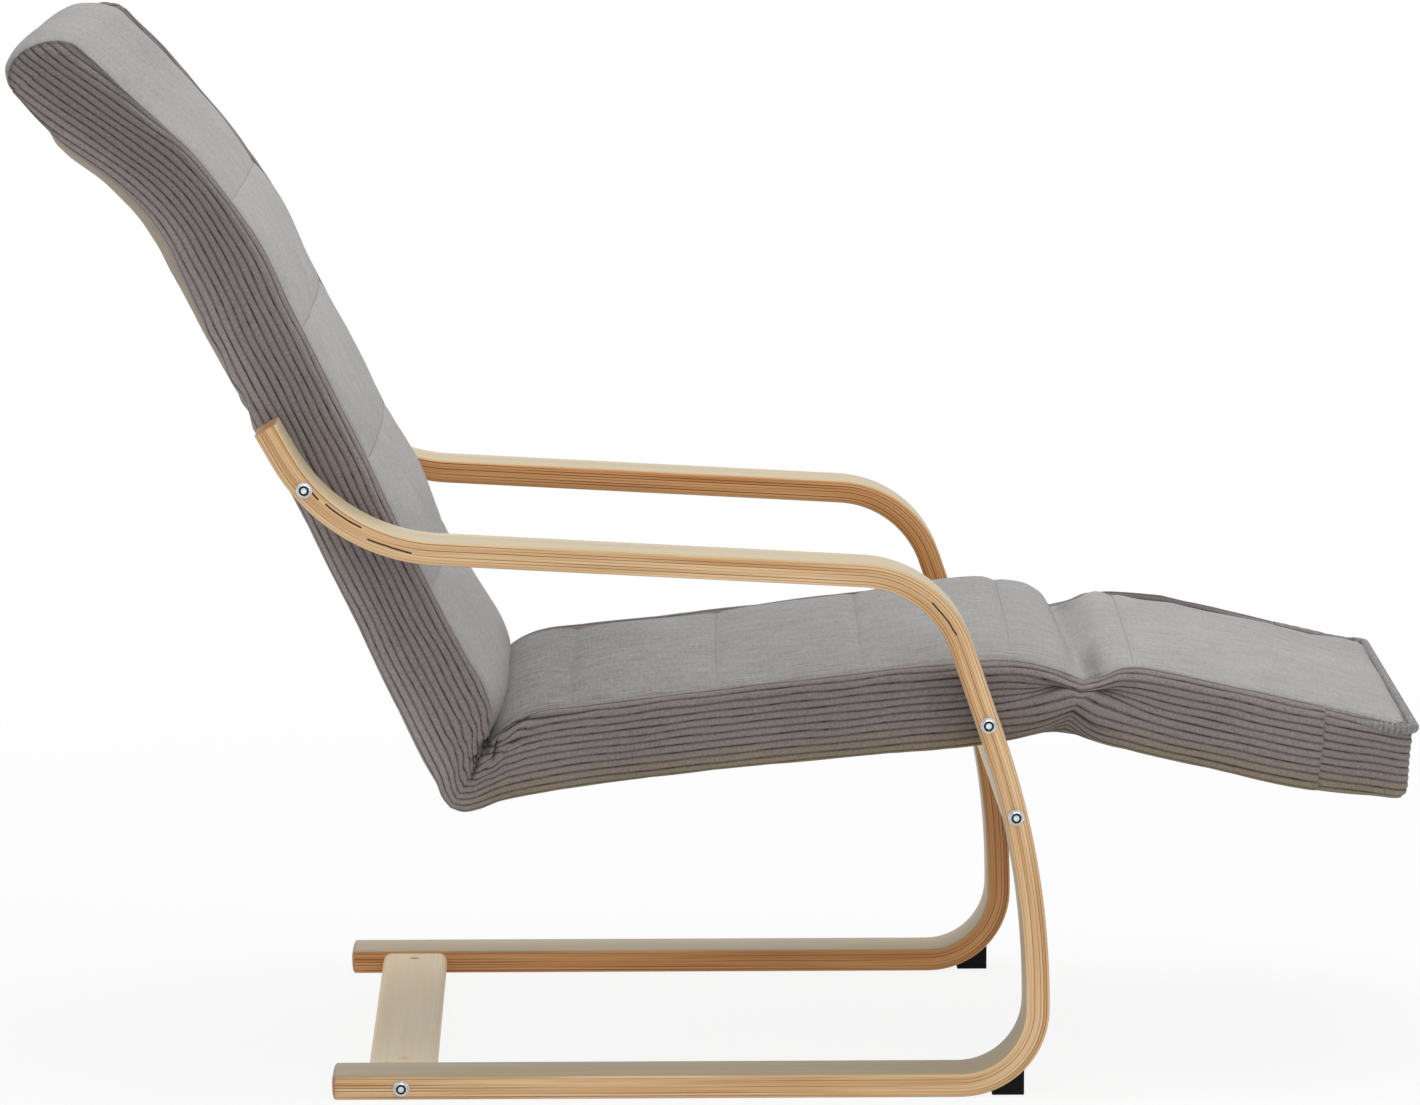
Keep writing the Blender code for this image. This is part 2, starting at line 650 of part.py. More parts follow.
POCKET_DEPTH = 3 * max(BACK_BEHIND_TUBE, SEAT_BELOW_TUBE, FOOT_BELOW_TUBE)
POCKET_PATH = round_corners(
    [TUBE_HEAD_END + UP_HEAD * SOFT_GAP, HEAD_BEND, TUBE_CORNER, TUBE_SEAT_END + ALONG_SEAT * SOFT_GAP],
    [HEAD_BEND_RADIUS, CORNER_BEND_RADIUS])
FOOT_TUBE_FRONT = FOOT_LENGTH - 2 * SKIRT_THICKNESS - TUBE_RADIUS
body_pocket = pocket_cutter("body_pocket", POCKET_PATH, POCKET_DEPTH)
foot_pocket = pocket_cutter(
    "foot_pocket",
    [PIVOT + ALONG_FOOT * (TUBE_END_FROM_PIVOT - SOFT_GAP),
     PIVOT + ALONG_FOOT * (FOOT_TUBE_FRONT + TUBE_RADIUS + STRAP_THICKNESS)],
    POCKET_DEPTH, HINGE)
cut(back_cushion, body_pocket)
cut(seat_cushion, body_pocket)
cut(footrest_cushion, foot_pocket)
for name, soft in (("back", back_cushion), ("seat", seat_cushion)):
    cut(soft, bar_cutter(name + "_sleeve_hole", BOLTS[name], SLEEVE_RADIUS + SOFT_GAP,
                         -INNER_SIDE, INNER_SIDE))
SLOT_LOW = FIXED_PLATE_SIDE - GAP - PIN_HEAD_HEIGHT - SOFT_GAP
SLOT_RADIUS = PLATE_END_RADIUS + 2 * SOFT_GAP
for side, sign in SIDES.items():
    slot_frame = side_view(sign * (SLOT_LOW + POCKET_HALF) / 2)
    for soft, toward, parent in ((seat_cushion, -ALONG_SEAT, None), (footrest_cushion, ALONG_FOOT, HINGE)):
        outline = link_outline(PIVOT, PIVOT + toward * 1.4 * TUBE_END_FROM_PIVOT, SLOT_RADIUS, SLOT_RADIUS)
        cut(soft, as_cutter(slab(soft.name + "_slot_" + side, outline, POCKET_HALF - SLOT_LOW,
                                 slot_frame), parent))


# Lining panels that close the pockets
def lining(name, path, sags, parent=None):
    """Thin panel along a path, dropped to its right by a gap and by its sag."""
    near = offset_path(path, [-GAP - sag for sag in sags])
    far = offset_path(path, [-GAP - sag - LINING_THICKNESS for sag in sags])
    panel = slab(name, near + far[::-1], POCKET_HALF + SKIRT_FACE, side_view(0))
    adopt(panel, LINING, parent)


BACK_LINING = stretch(BACK_REAR, 2 * SOFT_GAP, path_length(BACK_REAR))[::-1]


def back_sag(point):
    """Slack of the lining behind the upper back, none below the arms or at the head."""
    rise = (point - BACK_BOLT).dot(UP_BACK)
    share = min(max(rise / (BACK_BEND_ABOVE_BOLT + HEAD_REAR_LENGTH * 0.8), 0.0), 1.0)
    return LINING_SAG * sin(pi * share) ** 2


BACK_LINING = [point_along(BACK_LINING, path_length(BACK_LINING) * i / 20) for i in range(21)]
lining("back_lining", BACK_LINING, [back_sag(point) for point in BACK_LINING])
SEAT_LINING = stretch(SEAT_UNDER, 2 * SOFT_GAP, path_length(SEAT_UNDER) - 0.45 * SEAT_BEVEL)
lining("seat_lining", SEAT_LINING, [0.0] * len(SEAT_LINING))
FOOT_LINING = stretch(FOOT_UNDER, FOOT_BEVEL, path_length(FOOT_UNDER) - FOOT_NOSE)
lining("footrest_lining", FOOT_LINING, [0.0] * len(FOOT_LINING), HINGE)

# Bent side frames and their feet
FRAME_OUTER = offset_path(FRAME_PATH, BOARD_THICKNESS / 2)
FRAME_INNER = offset_path(FRAME_PATH, -BOARD_THICKNESS / 2)[::-1]
FRAME_OUTLINE = (FRAME_OUTER + bulged_end(FRAME_OUTER[-1], FRAME_INNER[0], END_BULGE, 6)
                 + FRAME_INNER + bulged_end(FRAME_INNER[-1], FRAME_OUTER[0], END_BULGE / 2, 4))
FLOOR_BEND_CENTRE = FLOOR_CORNER + Vector((-FLOOR_BEND_RADIUS, FLOOR_BEND_RADIUS))
FOOT_TOP_RADIUS = FLOOR_BEND_RADIUS + BOARD_THICKNESS / 2 + GAP


def foot_outline():
    """Wedge between the floor and the underside of the front bend."""
    count = 6
    front = RAIL_LENGTH - FOOT_SETBACK
    outline = [Vector((front - FOOT_DEPTH, 0)), Vector((front, 0))]
    for i in range(count + 1):
        across = front - FOOT_DEPTH * i / count - FLOOR_BEND_CENTRE.x
        drop = (FOOT_TOP_RADIUS ** 2 - across ** 2) ** 0.5
        outline.append(FLOOR_BEND_CENTRE + Vector((across, -drop)))
    return outline


for side, sign in SIDES.items():
    middle = sign * (INNER_SIDE + OUTER_SIDE) / 2
    holes = [circle(point, HOLE_RADIUS, 12) for point in BOLTS.values()]
    adopt(slab("side_frame_" + side, FRAME_OUTLINE, ARM_WIDTH, side_view(middle), holes, EDGE_ROUND), BIRCH)
    adopt(slab("front_foot_" + side, foot_outline(), ARM_WIDTH - 2 * FOOT_INSET, side_view(middle)), RUBBER)


# Rear stretcher and front crossbar, bolted through barrel nuts
TIE_LENGTH = INNER_WIDTH - 2 * GAP
NUT_SIDE = INNER_SIDE - GAP - BARREL_INSET
NUT_TOP = BARREL_LENGTH / 2 + GAP


def upright(point, y, normal):
    """Frame whose Z axis points along a direction of the side view."""
    z_axis = Vector((normal.x, 0, normal.y))
    y_axis = Vector((0, 1, 0))
    x_axis = y_axis.cross(z_axis)
    frame = Matrix((x_axis, y_axis, z_axis)).transposed().to_4x4()
    frame.translation = (point.x, y, point.y)
    return frame


def tie_board(name, kind, along):
    """Board between the side frames, with bolt holes and barrel nuts at both ends."""
    centre = BOLTS[kind]
    normal = left_of(along)
    outline = rounded_rectangle(centre, along, TIE_WIDTH, TIE_THICKNESS, TIE_ROUND)
    board = as_mesh(slab(name, outline, TIE_LENGTH, side_view(0)))
    adopt(board, PALE_BIRCH)
    for side, sign in SIDES.items():
        hole_ends = sorted((sign * (OUTER_SIDE - BOLT_LENGTH), sign * OUTER_SIDE))
        cut(board, bar_cutter(f"{kind}_hole_{side}", centre, HOLE_RADIUS, *hole_ends))
        well_depth = TIE_THICKNESS / 2 + NUT_TOP
        well = as_mesh(turned(f"{kind}_well_{side}", [
            (0, TIE_THICKNESS), (BARREL_RADIUS + GAP, TIE_THICKNESS),
            (BARREL_RADIUS + GAP, TIE_THICKNESS / 2 - well_depth), (0, TIE_THICKNESS / 2 - well_depth)]))
        well.matrix_world = upright(centre, sign * NUT_SIDE, normal)
        cut(board, as_cutter(well))
        nut = as_mesh(turned(f"{kind}_nut_{side}", [
            (0, BARREL_LENGTH / 2), (BARREL_RADIUS, BARREL_LENGTH / 2),
            (BARREL_RADIUS, -BARREL_LENGTH / 2), (0, -BARREL_LENGTH / 2)]))
        nut.matrix_world = upright(centre, sign * NUT_SIDE, normal)
        adopt(nut, ZINC)
        cut(nut, bar_cutter(f"{kind}_thread_{side}", centre, HOLE_RADIUS,
                            sign * NUT_SIDE - 2 * BARREL_RADIUS, sign * NUT_SIDE + 2 * BARREL_RADIUS))


tie_board("rear_stretcher", "stretcher", Vector((1, 0)))
tie_board("front_crossbar", "crossbar", -CROSSBAR_DIRECTION)


# Bolts, washers and sleeves
def bolt_mesh():
    """Socket-head bolt along Z, with the underside of its head at Z = 0."""
    shoulder = BOLT_HEAD_HEIGHT * 0.45
    bolt = as_mesh(turned("bolt", [
        (0, BOLT_HEAD_HEIGHT), (BOLT_HEAD_RADIUS * 0.72, BOLT_HEAD_HEIGHT),
        (BOLT_HEAD_RADIUS * 0.93, shoulder * 1.5), (BOLT_HEAD_RADIUS, shoulder), (BOLT_HEAD_RADIUS, 0),
        (BOLT_RADIUS, 0), (BOLT_RADIUS, -BOLT_LENGTH), (0, -BOLT_LENGTH)], steps=12))
    bpy.ops.mesh.primitive_cylinder_add(vertices=6, radius=SOCKET_RADIUS, depth=2 * SOCKET_DEPTH,
                                        location=(0, 0, BOLT_HEAD_HEIGHT))
    socket = bpy.context.active_object
    cut(bolt, socket)
    made = as_mesh(bolt)
    bpy.data.objects.remove(socket, do_unlink=True)
    return made.data


def ring(name, inner, outer, low, high, steps=16):
    """Flat ring about Z."""
    return as_mesh(turned(name, [(outer, high), (outer, low), (inner, low), (inner, high)], True, steps))


def facing_out(point, y, sign):
    """Frame at a bolt axis whose Z axis points away from the chair's middle."""
    frame = Matrix.Rotation(-sign * pi / 2, 4, "X")
    frame.translation = (point.x, y, point.y)
    return frame


BOLT_MESH = bolt_mesh()
WASHER_MESH = ring("washer", HOLE_RADIUS, WASHER_RADIUS, 0, WASHER_THICKNESS).data
HEAD_SEAT = OUTER_SIDE + WASHER_THICKNESS + 2 * GAP
SLEEVE_LENGTH = INNER_SIDE - GAP - FIXED_PLATE_SIDE
SLEEVE_MESH = ring("sleeve", HOLE_RADIUS, SLEEVE_RADIUS, 0, SLEEVE_LENGTH).data
for side, sign in SIDES.items():
    for kind, point in BOLTS.items():
        bolt = bpy.data.objects.new(f"{kind}_bolt_{side}", BOLT_MESH)
        bolt.matrix_world = facing_out(point, sign * HEAD_SEAT, sign)
        washer = bpy.data.objects.new(f"{kind}_washer_{side}", WASHER_MESH)
        washer.matrix_world = facing_out(point, sign * (OUTER_SIDE + GAP), sign)
        for fastener in (bolt, washer):
            adopt(fastener, None if fastener.data.materials else ZINC)
    for kind in ("back", "seat"):
        sleeve = bpy.data.objects.new(f"{kind}_sleeve_{side}", SLEEVE_MESH)
        sleeve.matrix_world = facing_out(BOLTS[kind], sign * FIXED_PLATE_SIDE, sign)
        adopt(sleeve, None if SLEEVE_MESH.materials else STEEL)


# Steel tube frame of the back and seat
def across(name, point, half):
    """Straight cross tube at a point of the side view."""
    return tube(name, [(point.x, -half, point.y), (point.x, half, point.y)], TUBE_RADIUS)


for side, sign in SIDES.items():
    rail = as_mesh(tube("side_tube_" + side, [(p.x, sign * TUBE_SIDE, p.y) for p in TUBE_PATH], TUBE_RADIUS))
    adopt(rail, STEEL)
    smooth(rail)
    for kind in ("back", "seat"):
        low, high = sorted((sign * (TUBE_SIDE - 2 * TUBE_RADIUS), sign * (TUBE_SIDE + 2 * TUBE_RADIUS)))
        cut(rail, bar_cutter(f"{kind}_tapped_hole_{side}", BOLTS[kind], HOLE_RADIUS, low, high))
CROSS_HALF = TUBE_SIDE - TUBE_RADIUS - GAP
CROSS_TUBES = {
    "head_rail": TUBE_HEAD_END - UP_HEAD * HEAD_RAIL_DROP,
    "back_rail": BACK_BOLT + UP_BACK * BACK_RAIL_ABOVE_BOLT,
    "seat_rear_rail": TUBE_CORNER + ALONG_SEAT * SEAT_REAR_RAIL,
    "seat_front_rail": TUBE_CORNER + ALONG_SEAT * SEAT_FRONT_RAIL,
}
for name, point in CROSS_TUBES.items():
    adopt(across(name, point, CROSS_HALF), STEEL)


# Elastic straps that carry the foam, hooked over the side tubes
def strap(name, point, normal, tube_side, parent=None):
    """Flat strap across the chair, wrapped round both side tubes."""
    radius = TUBE_RADIUS + GAP + STRAP_THICKNESS / 2
    wrap = [Vector((tube_side, 0)) + heading(angle) * radius for angle in range(-60, 91, 15)]
    centre_line = wrap + [Vector((-p.x, p.y)) for p in reversed(wrap)]
    outline = (offset_path(centre_line, STRAP_THICKNESS / 2)
               + offset_path(centre_line, -STRAP_THICKNESS / 2)[::-1])
    frame = Matrix(((0, normal.x, normal.y), (1, 0, 0), (0, normal.y, -normal.x))).to_4x4()
    frame.translation = (point.x, 0, point.y)
    adopt(slab(name, outline, STRAP_WIDTH, frame), WEBBING, parent)


for number in range(BACK_STRAP_COUNT):
    rise = BACK_STRAP_START + number * BACK_STRAP_PITCH
    strap(f"back_strap_{number + 1}", BACK_BOLT + UP_BACK * rise, BACK_FRONT_NORMAL, TUBE_SIDE)
for number in range(SEAT_STRAP_COUNT):
    reach = SEAT_STRAP_START + number * SEAT_STRAP_PITCH
    strap(f"seat_strap_{number + 1}", TUBE_CORNER + ALONG_SEAT * reach, SEAT_NORMAL, TUBE_SIDE)
for number in range(FOOT_STRAP_COUNT):
    reach = FOOT_STRAP_START + number * FOOT_STRAP_PITCH
    strap(f"footrest_strap_{number + 1}", PIVOT + ALONG_FOOT * reach, FOOT_NORMAL, FOOT_TUBE_SIDE, HINGE)

# Footrest tube, bent to a U
FOOT_TUBE_DRAWING = round_corners(
    [Vector((TUBE_END_FROM_PIVOT, -FOOT_TUBE_SIDE)), Vector((FOOT_TUBE_FRONT, -FOOT_TUBE_SIDE)),
     Vector((FOOT_TUBE_FRONT, FOOT_TUBE_SIDE)), Vector((TUBE_END_FROM_PIVOT, FOOT_TUBE_SIDE))],
    [FOOT_TUBE_BEND_RADIUS] * 2)
FOOT_TUBE_POINTS = []
for reach, y in FOOT_TUBE_DRAWING:
    place = PIVOT + ALONG_FOOT * reach
    FOOT_TUBE_POINTS.append((place.x, y, place.y))
adopt(tube("footrest_tube", FOOT_TUBE_POINTS, TUBE_RADIUS), STEEL, HINGE)

# Friction hinges: a fixed plate, a spring washer, a moving plate and a riveted pin
PIN_HOLE = [circle(PIVOT, PIN_RADIUS + HOLE_PLAY, 12)]
PLATE_TAIL_RADIUS = PLATE_END_RADIUS * 0.85
PIN_BOTTOM = FIXED_PLATE_SIDE - GAP
PIN_TOP = PIN_HEAD_SIDE + PIN_HEAD_HEIGHT
PIN_MESH = as_mesh(turned("pin", [
    (0, PIN_TOP), (PIN_HEAD_RADIUS, PIN_TOP), (PIN_HEAD_RADIUS, PIN_HEAD_SIDE), (PIN_RADIUS, PIN_HEAD_SIDE),
    (PIN_RADIUS, PIN_BOTTOM), (PIN_HEAD_RADIUS, PIN_BOTTOM), (PIN_HEAD_RADIUS, PIN_BOTTOM - PIN_HEAD_HEIGHT),
    (0, PIN_BOTTOM - PIN_HEAD_HEIGHT)], steps=12)).data
SPRING_MESH = ring("spring", PIN_RADIUS + HOLE_PLAY, PLATE_TAIL_RADIUS, SPRING_WASHER_SIDE,
                   SPRING_WASHER_SIDE + SPRING_WASHER_THICKNESS).data
for side, sign in SIDES.items():
    for name, layer, toward, parent in (("hinge_fixed_plate_", FIXED_PLATE_SIDE, -ALONG_SEAT, None),
                                        ("hinge_moving_plate_", MOVING_PLATE_SIDE, ALONG_FOOT, HINGE)):
        outline = link_outline(PIVOT, PIVOT + toward * PLATE_LENGTH, PLATE_END_RADIUS, PLATE_TAIL_RADIUS)
        frame = side_view(sign * (layer + PLATE_THICKNESS / 2))
        adopt(slab(name + side, outline, PLATE_THICKNESS, frame, PIN_HOLE), STEEL, parent)
    for name, mesh in (("hinge_pin_", PIN_MESH), ("hinge_spring_washer_", SPRING_MESH)):
        piece = bpy.data.objects.new(name + side, mesh)
        piece.matrix_world = facing_out(PIVOT, 0, sign)
        adopt(piece, None if mesh.materials else ZINC)

for name, top in (("back", BACK_FRONT), ("seat", SEAT_TOP), ("footrest", FOOT_TOP)):
    print(name, "top line", round(path_length(top), 4))
SHIFT = ROOT.location.x
print("origin shift", round(SHIFT, 5))
for name, point in {"pivot": PIVOT, "tip": TIP, **BOLTS}.items():
    print(name, round(point.x + SHIFT, 5), round(point.y, 5))
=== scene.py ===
# %% [markdown]
# # A bentwood lounge recliner, dressed for its portrait
# The hard parts of the chair come ready from the CAD frame: bolts, feet, cross boards and the steel
# inside the cushion. This lesson adds what CAD is poor at: laminated wood whose layers follow the bend,
# and one long corduroy cover with ribs, sewn channels, creases and a cloth lining.

# %% Load the frame and bake each part's placement into its mesh
from math import cos, pi, radians, sin, tan

import bpy
import numpy as np
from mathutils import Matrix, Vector


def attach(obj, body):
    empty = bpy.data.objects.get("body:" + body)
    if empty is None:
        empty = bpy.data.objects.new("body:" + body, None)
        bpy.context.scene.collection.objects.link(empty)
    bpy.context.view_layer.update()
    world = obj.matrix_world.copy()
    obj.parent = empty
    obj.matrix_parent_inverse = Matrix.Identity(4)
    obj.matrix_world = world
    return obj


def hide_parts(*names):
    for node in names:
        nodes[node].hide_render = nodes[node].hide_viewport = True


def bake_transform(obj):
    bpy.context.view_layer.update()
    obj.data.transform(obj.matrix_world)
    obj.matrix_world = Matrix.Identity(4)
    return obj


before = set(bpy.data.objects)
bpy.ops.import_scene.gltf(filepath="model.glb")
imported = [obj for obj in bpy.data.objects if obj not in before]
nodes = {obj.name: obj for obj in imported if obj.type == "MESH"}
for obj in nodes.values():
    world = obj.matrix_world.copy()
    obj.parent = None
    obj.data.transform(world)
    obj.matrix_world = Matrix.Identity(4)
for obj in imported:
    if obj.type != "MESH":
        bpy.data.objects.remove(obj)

scene = bpy.context.scene
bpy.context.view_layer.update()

# %% [markdown]
# ## The camera
# The photograph was taken from far off with a long lens, a little above the arms and almost square to
# the side. A long lens keeps the near and the far frame close to the same size, so the camera stands
# almost seven metres away.

# %% Camera
CAMERA_PLACE = (-0.14272, -6.6819, 1.5)
CAMERA_TILT = 8.487
CAMERA_TURN = -1.194
IMAGE_WIDTH = 1420
FOCAL_IN_PIXELS = 6500
SENSOR = 36.0

camera_data = bpy.data.cameras.new("portrait_camera")
camera_data.sensor_width = SENSOR
camera_data.lens = FOCAL_IN_PIXELS / IMAGE_WIDTH * SENSOR
camera = bpy.data.objects.new("portrait_camera", camera_data)
camera.location = CAMERA_PLACE
camera.rotation_euler = (radians(90 - CAMERA_TILT), 0, radians(CAMERA_TURN))
scene.collection.objects.link(camera)
scene.camera = camera
print("lens", round(camera_data.lens, 1), "mm")

# %% [markdown]
# ## Networks of nodes
# In Blender light and finishes are networks of nodes. A thin wrapper that adds nodes, sets their inputs
# and links them keeps each network down to a few readable lines.

# %% Node helpers
WHITE, BLACK, NOWHERE = (1, 1, 1, 1), (0, 0, 0, 1), (0, 0, 0)


class Network:
    """A node tree with short ways to add nodes: by kind with named inputs, or by what they work out."""

    def __init__(self, tree):
        self.tree = tree

    def feed(self, node, socket, value):
        """Links a socket to an input, or sets the input to a constant."""
        if isinstance(value, bpy.types.NodeSocket):
            self.tree.links.new(value, node.inputs[socket])
        else:
            node.inputs[socket].default_value = value

    def fill(self, node, **inputs):
        """Feeds several inputs by name, with _ in place of a space."""
        for key, value in inputs.items():
            self.feed(node, key.replace("_", " "), value)

    def add(self, kind, settings=None, **inputs):
        """A new node with its settings and its named inputs."""
        node = self.tree.nodes.new(kind)
        for key, value in (settings or {}).items():
            setattr(node, key, value)
        self.fill(node, **inputs)
        return node

    def fed(self, kind, settings, *values):
        """The first output of a new node whose inputs are fed in order."""
        node = self.add(kind, settings)
        for number, value in enumerate(values):
            self.feed(node, number, value)
        return node.outputs[0]

    def math(self, operation, a, b=0.0):
        """One step of arithmetic."""
        return self.fed("ShaderNodeMath", {"operation": operation}, a, b)

    def weighted(self, *pairs):
        """The sum of two values, each times its weight."""
        terms = [self.math("MULTIPLY", value, weight) for value, weight in pairs]
        return self.math("ADD", *terms)

    def between(self, value, low, high, to_low=0.0, to_high=1.0):
        """A value carried from one range over to another."""
        return self.fed("ShaderNodeMapRange", {}, value, low, high, to_low, to_high)

    def shade(self, share, first, second):
        """Two shaders mixed by a share."""
        return self.fed("ShaderNodeMixShader", {}, share, first, second)

    def mix(self, share, a, b, blend="MIX"):
        """Two colours mixed by a share."""
        node = self.add("ShaderNodeMix", {"data_type": "RGBA", "blend_type": blend})
        for socket, value in ((0, share), (6, a), (7, b)):
            self.feed(node, socket, value)
        return node.outputs[2]

    def times(self, a, b):
        """One colour multiplied by another."""
        return self.mix(1.0, a, b, "MULTIPLY")

    def lit(self, colour, change):
        """A colour made lighter or darker: times 1 plus a change."""
        light = self.math("ADD", 1.0, change)
        grey = self.add("ShaderNodeCombineColor", Red=light, Green=light, Blue=light)
        return self.times(colour, grey.outputs[0])

    def noise(self, place, scale, detail=2.0, roughness=0.5):
        """Soft random values between 0 and 1."""
        made = self.add("ShaderNodeTexNoise", Vector=place, Scale=scale, Detail=detail, Roughness=roughness)
        return made.outputs[0]

    def streaks(self, place, scale, detail=2.0, roughness=0.5):
        """Noise with a scale of its own each way."""
        drawn_out = self.add("ShaderNodeMapping", Vector=place, Scale=scale).outputs[0]
        return self.noise(drawn_out, 1.0, detail, roughness)

    def place(self):
        """Where on the piece a point lies, in metres."""
        return self.add("ShaderNodeTexCoord").outputs["Object"]

    def split(self, vector):
        """The three parts of a vector."""
        return self.add("ShaderNodeSeparateXYZ", Vector=vector).outputs

    def attribute(self, name, output="Fac"):
        """A value stored in the mesh."""
        return self.add("ShaderNodeAttribute", {"attribute_name": name}).outputs[output]


def seen_directly(net):
    """A value of 1 for rays that come straight from the camera, a mirror or glass, and 0 for the rest."""
    path = net.add("ShaderNodeLightPath").outputs
    bounced = net.math("MAXIMUM", path["Is Glossy Ray"], path["Is Transmission Ray"])
    return net.math("MAXIMUM", path["Is Camera Ray"], bounced)


# %% [markdown]
# ## Studio light
# A product photograph is lit by large soft boxes in a white room. The world gives an even light from
# all round, and one wide lamp overhead makes upward faces brighter than the sides. Only the camera
# and mirror-like surfaces see the world as pure white.

# %% World and lamps
scene.view_settings.view_transform = "Standard"
ROOM_LIGHT = 0.50
ROOM_COLOUR = (1.0, 0.985, 0.97, 1)
LAMP_AIM = Vector((0, 0, 0.5))
TOP_LAMP_POWER = 62
FRONT_LAMP_POWER = 30

world = bpy.data.worlds.new("white_room")
scene.world = world
world.use_nodes = True
world.node_tree.nodes.clear()
net = Network(world.node_tree)
even_light = net.add("ShaderNodeBackground", Color=ROOM_COLOUR, Strength=ROOM_LIGHT).outputs[0]
pure_white = net.add("ShaderNodeBackground", Color=WHITE).outputs[0]
net.add("ShaderNodeOutputWorld", Surface=net.shade(seen_directly(net), even_light, pure_white))


def soft_box(name, place, width, height, power):
    """A rectangular lamp at a place, turned so that it shines on the aim point."""
    lamp = bpy.data.lights.new(name, "AREA")
    lamp.shape = "RECTANGLE"
    lamp.size, lamp.size_y, lamp.energy = width, height, power
    holder = bpy.data.objects.new(name, lamp)
    holder.location = place
    holder.rotation_euler = (holder.location - LAMP_AIM).to_track_quat("Z", "Y").to_euler()
    scene.collection.objects.link(holder)


soft_box("overhead_box", (0.1, 0.2, 3.4), 3.2, 2.6, TOP_LAMP_POWER)
soft_box("front_box", (1.2, -4.0, 2.2), 2.4, 2.0, FRONT_LAMP_POWER)

# %% [markdown]
# ## The floor
# The floor is pale and fades out with distance, so that no horizon shows. For the camera it is mostly
# its own white, with a little of the light that falls on it, so only a soft shadow stays. Everything
# else sees it as a plain pale floor.

# %% Floor
FLOOR_HALF = 14.0
FLOOR_LEVEL = -0.0005
FLOOR_GLOW = 0.88
FLOOR_COLOUR = (0.95, 0.95, 0.95, 1)
FLOOR_FADE = (1.1, 2.6)

floor_mesh = bpy.data.meshes.new("floor")
floor_corners = FLOOR_HALF * np.array([(-1, -1, 0), (1, -1, 0), (1, 1, 0), (-1, 1, 0)])
floor_mesh.from_pydata(floor_corners.tolist(), [], [(0, 1, 2, 3)])
floor = bpy.data.objects.new("floor", floor_mesh)
floor.location.z = FLOOR_LEVEL
scene.collection.objects.link(floor)
floor_finish = bpy.data.materials.new("pale_floor")
floor_finish.use_nodes = True
floor_finish.node_tree.nodes.clear()
net = Network(floor_finish.node_tree)
seen = seen_directly(net)
matt = net.add("ShaderNodeBsdfDiffuse", Color=FLOOR_COLOUR).outputs[0]
glow = net.add("ShaderNodeEmission").outputs[0]
pale = net.shade(net.math("MULTIPLY", seen, FLOOR_GLOW), matt, glow)
away = net.add("ShaderNodeVectorMath", {"operation": "LENGTH"}, Vector=net.place()).outputs["Value"]
gone = net.fed("ShaderNodeMapRange", {"interpolation_type": "SMOOTHSTEP"}, away, *FLOOR_FADE)
nothing = net.add("ShaderNodeBsdfTransparent").outputs[0]
net.add("ShaderNodeOutputMaterial", Surface=net.shade(net.math("MULTIPLY", gone, seen), pale, nothing))
floor_mesh.materials.append(floor_finish)
print("floor", 2 * FLOOR_HALF, "m wide")

# %% [markdown]
# ## Drawing the side view
# A chair like this is designed in side view. The wood is straight lines with rounded corners, and the
# cushion is a soft curve through a few points. Both are drawn here as arrays of points, so that every
# surface can be carried along them. An angle of 0 points to the front of the chair and 90 points up.

# %% Lines with rounded corners, and smooth lines
LINE_STEP = 0.002
ARC_POINTS = 25
POINTS_PER_SPAN = 40
RIPPLE_WAVES, RIPPLE_REACH, RIPPLE_LOWEST = 7, 1.6, 0.4
NO_LENGTH = 1e-12


def heading(degrees):
    """A unit direction in the side view: (cos a, sin a)."""
    return np.array([cos(radians(degrees)), sin(radians(degrees))])


def left_of(direction):
    """The direction turned a quarter turn to the left: (-y, x)."""
    return np.stack([-direction[..., 1], direction[..., 0]], -1)


def unit(vectors):
    """Each vector divided by its own length, or left at nothing where it has none."""
    return vectors / np.maximum(np.linalg.norm(vectors, axis=-1, keepdims=True), NO_LENGTH)


def meet(p, u, q, v):
    """The point where the line through p along u crosses the line through q along v."""
    s = np.linalg.solve(np.stack([u, -v], 1), q - p)[0]
    return p + u * s


def measured(line):
    """How far along the line each of its points lies: the running sum of the step lengths."""
    return np.concatenate([[0.0], np.cumsum(np.linalg.norm(np.diff(line, axis=0), axis=1))])


def read_off(places, table, points):
    """The points that belong to the given places in a table, straight between neighbours."""
    return np.stack([np.interp(places, table, column) for column in points.T], -1)


def at_lengths(line, lengths):
    """The points of a line at the given distances from its start."""
    return read_off(lengths, measured(line), line)


def even(line):
    """The same line with its points spaced evenly, LINE_STEP apart."""
    total = measured(line)[-1]
    return at_lengths(line, np.linspace(0, total, int(total / LINE_STEP) + 2))


def rounded(points, radii):
    """Straight runs joined by arcs. An arc of radius r starts r tan(t / 2) before a corner of turn t."""
    points = [np.asarray(p, float) for p in points]
    pieces = [points[0][None]]
    for before, corner, after, radius in zip(points, points[1:], points[2:], radii):
        come, leave = unit(corner - before), unit(after - corner)
        turn = np.arctan2(come[0] * leave[1] - come[1] * leave[0], come @ leave)
        start = corner - come * radius * tan(abs(turn) / 2)
        centre = start + left_of(come) * radius * np.sign(turn)
        angle = np.linspace(0, turn, ARC_POINTS)[:, None]
        spoke = start - centre
        pieces.append(centre + spoke * np.cos(angle) + left_of(spoke) * np.sin(angle))
    pieces.append(points[-1][None])
    return even(np.concatenate(pieces))


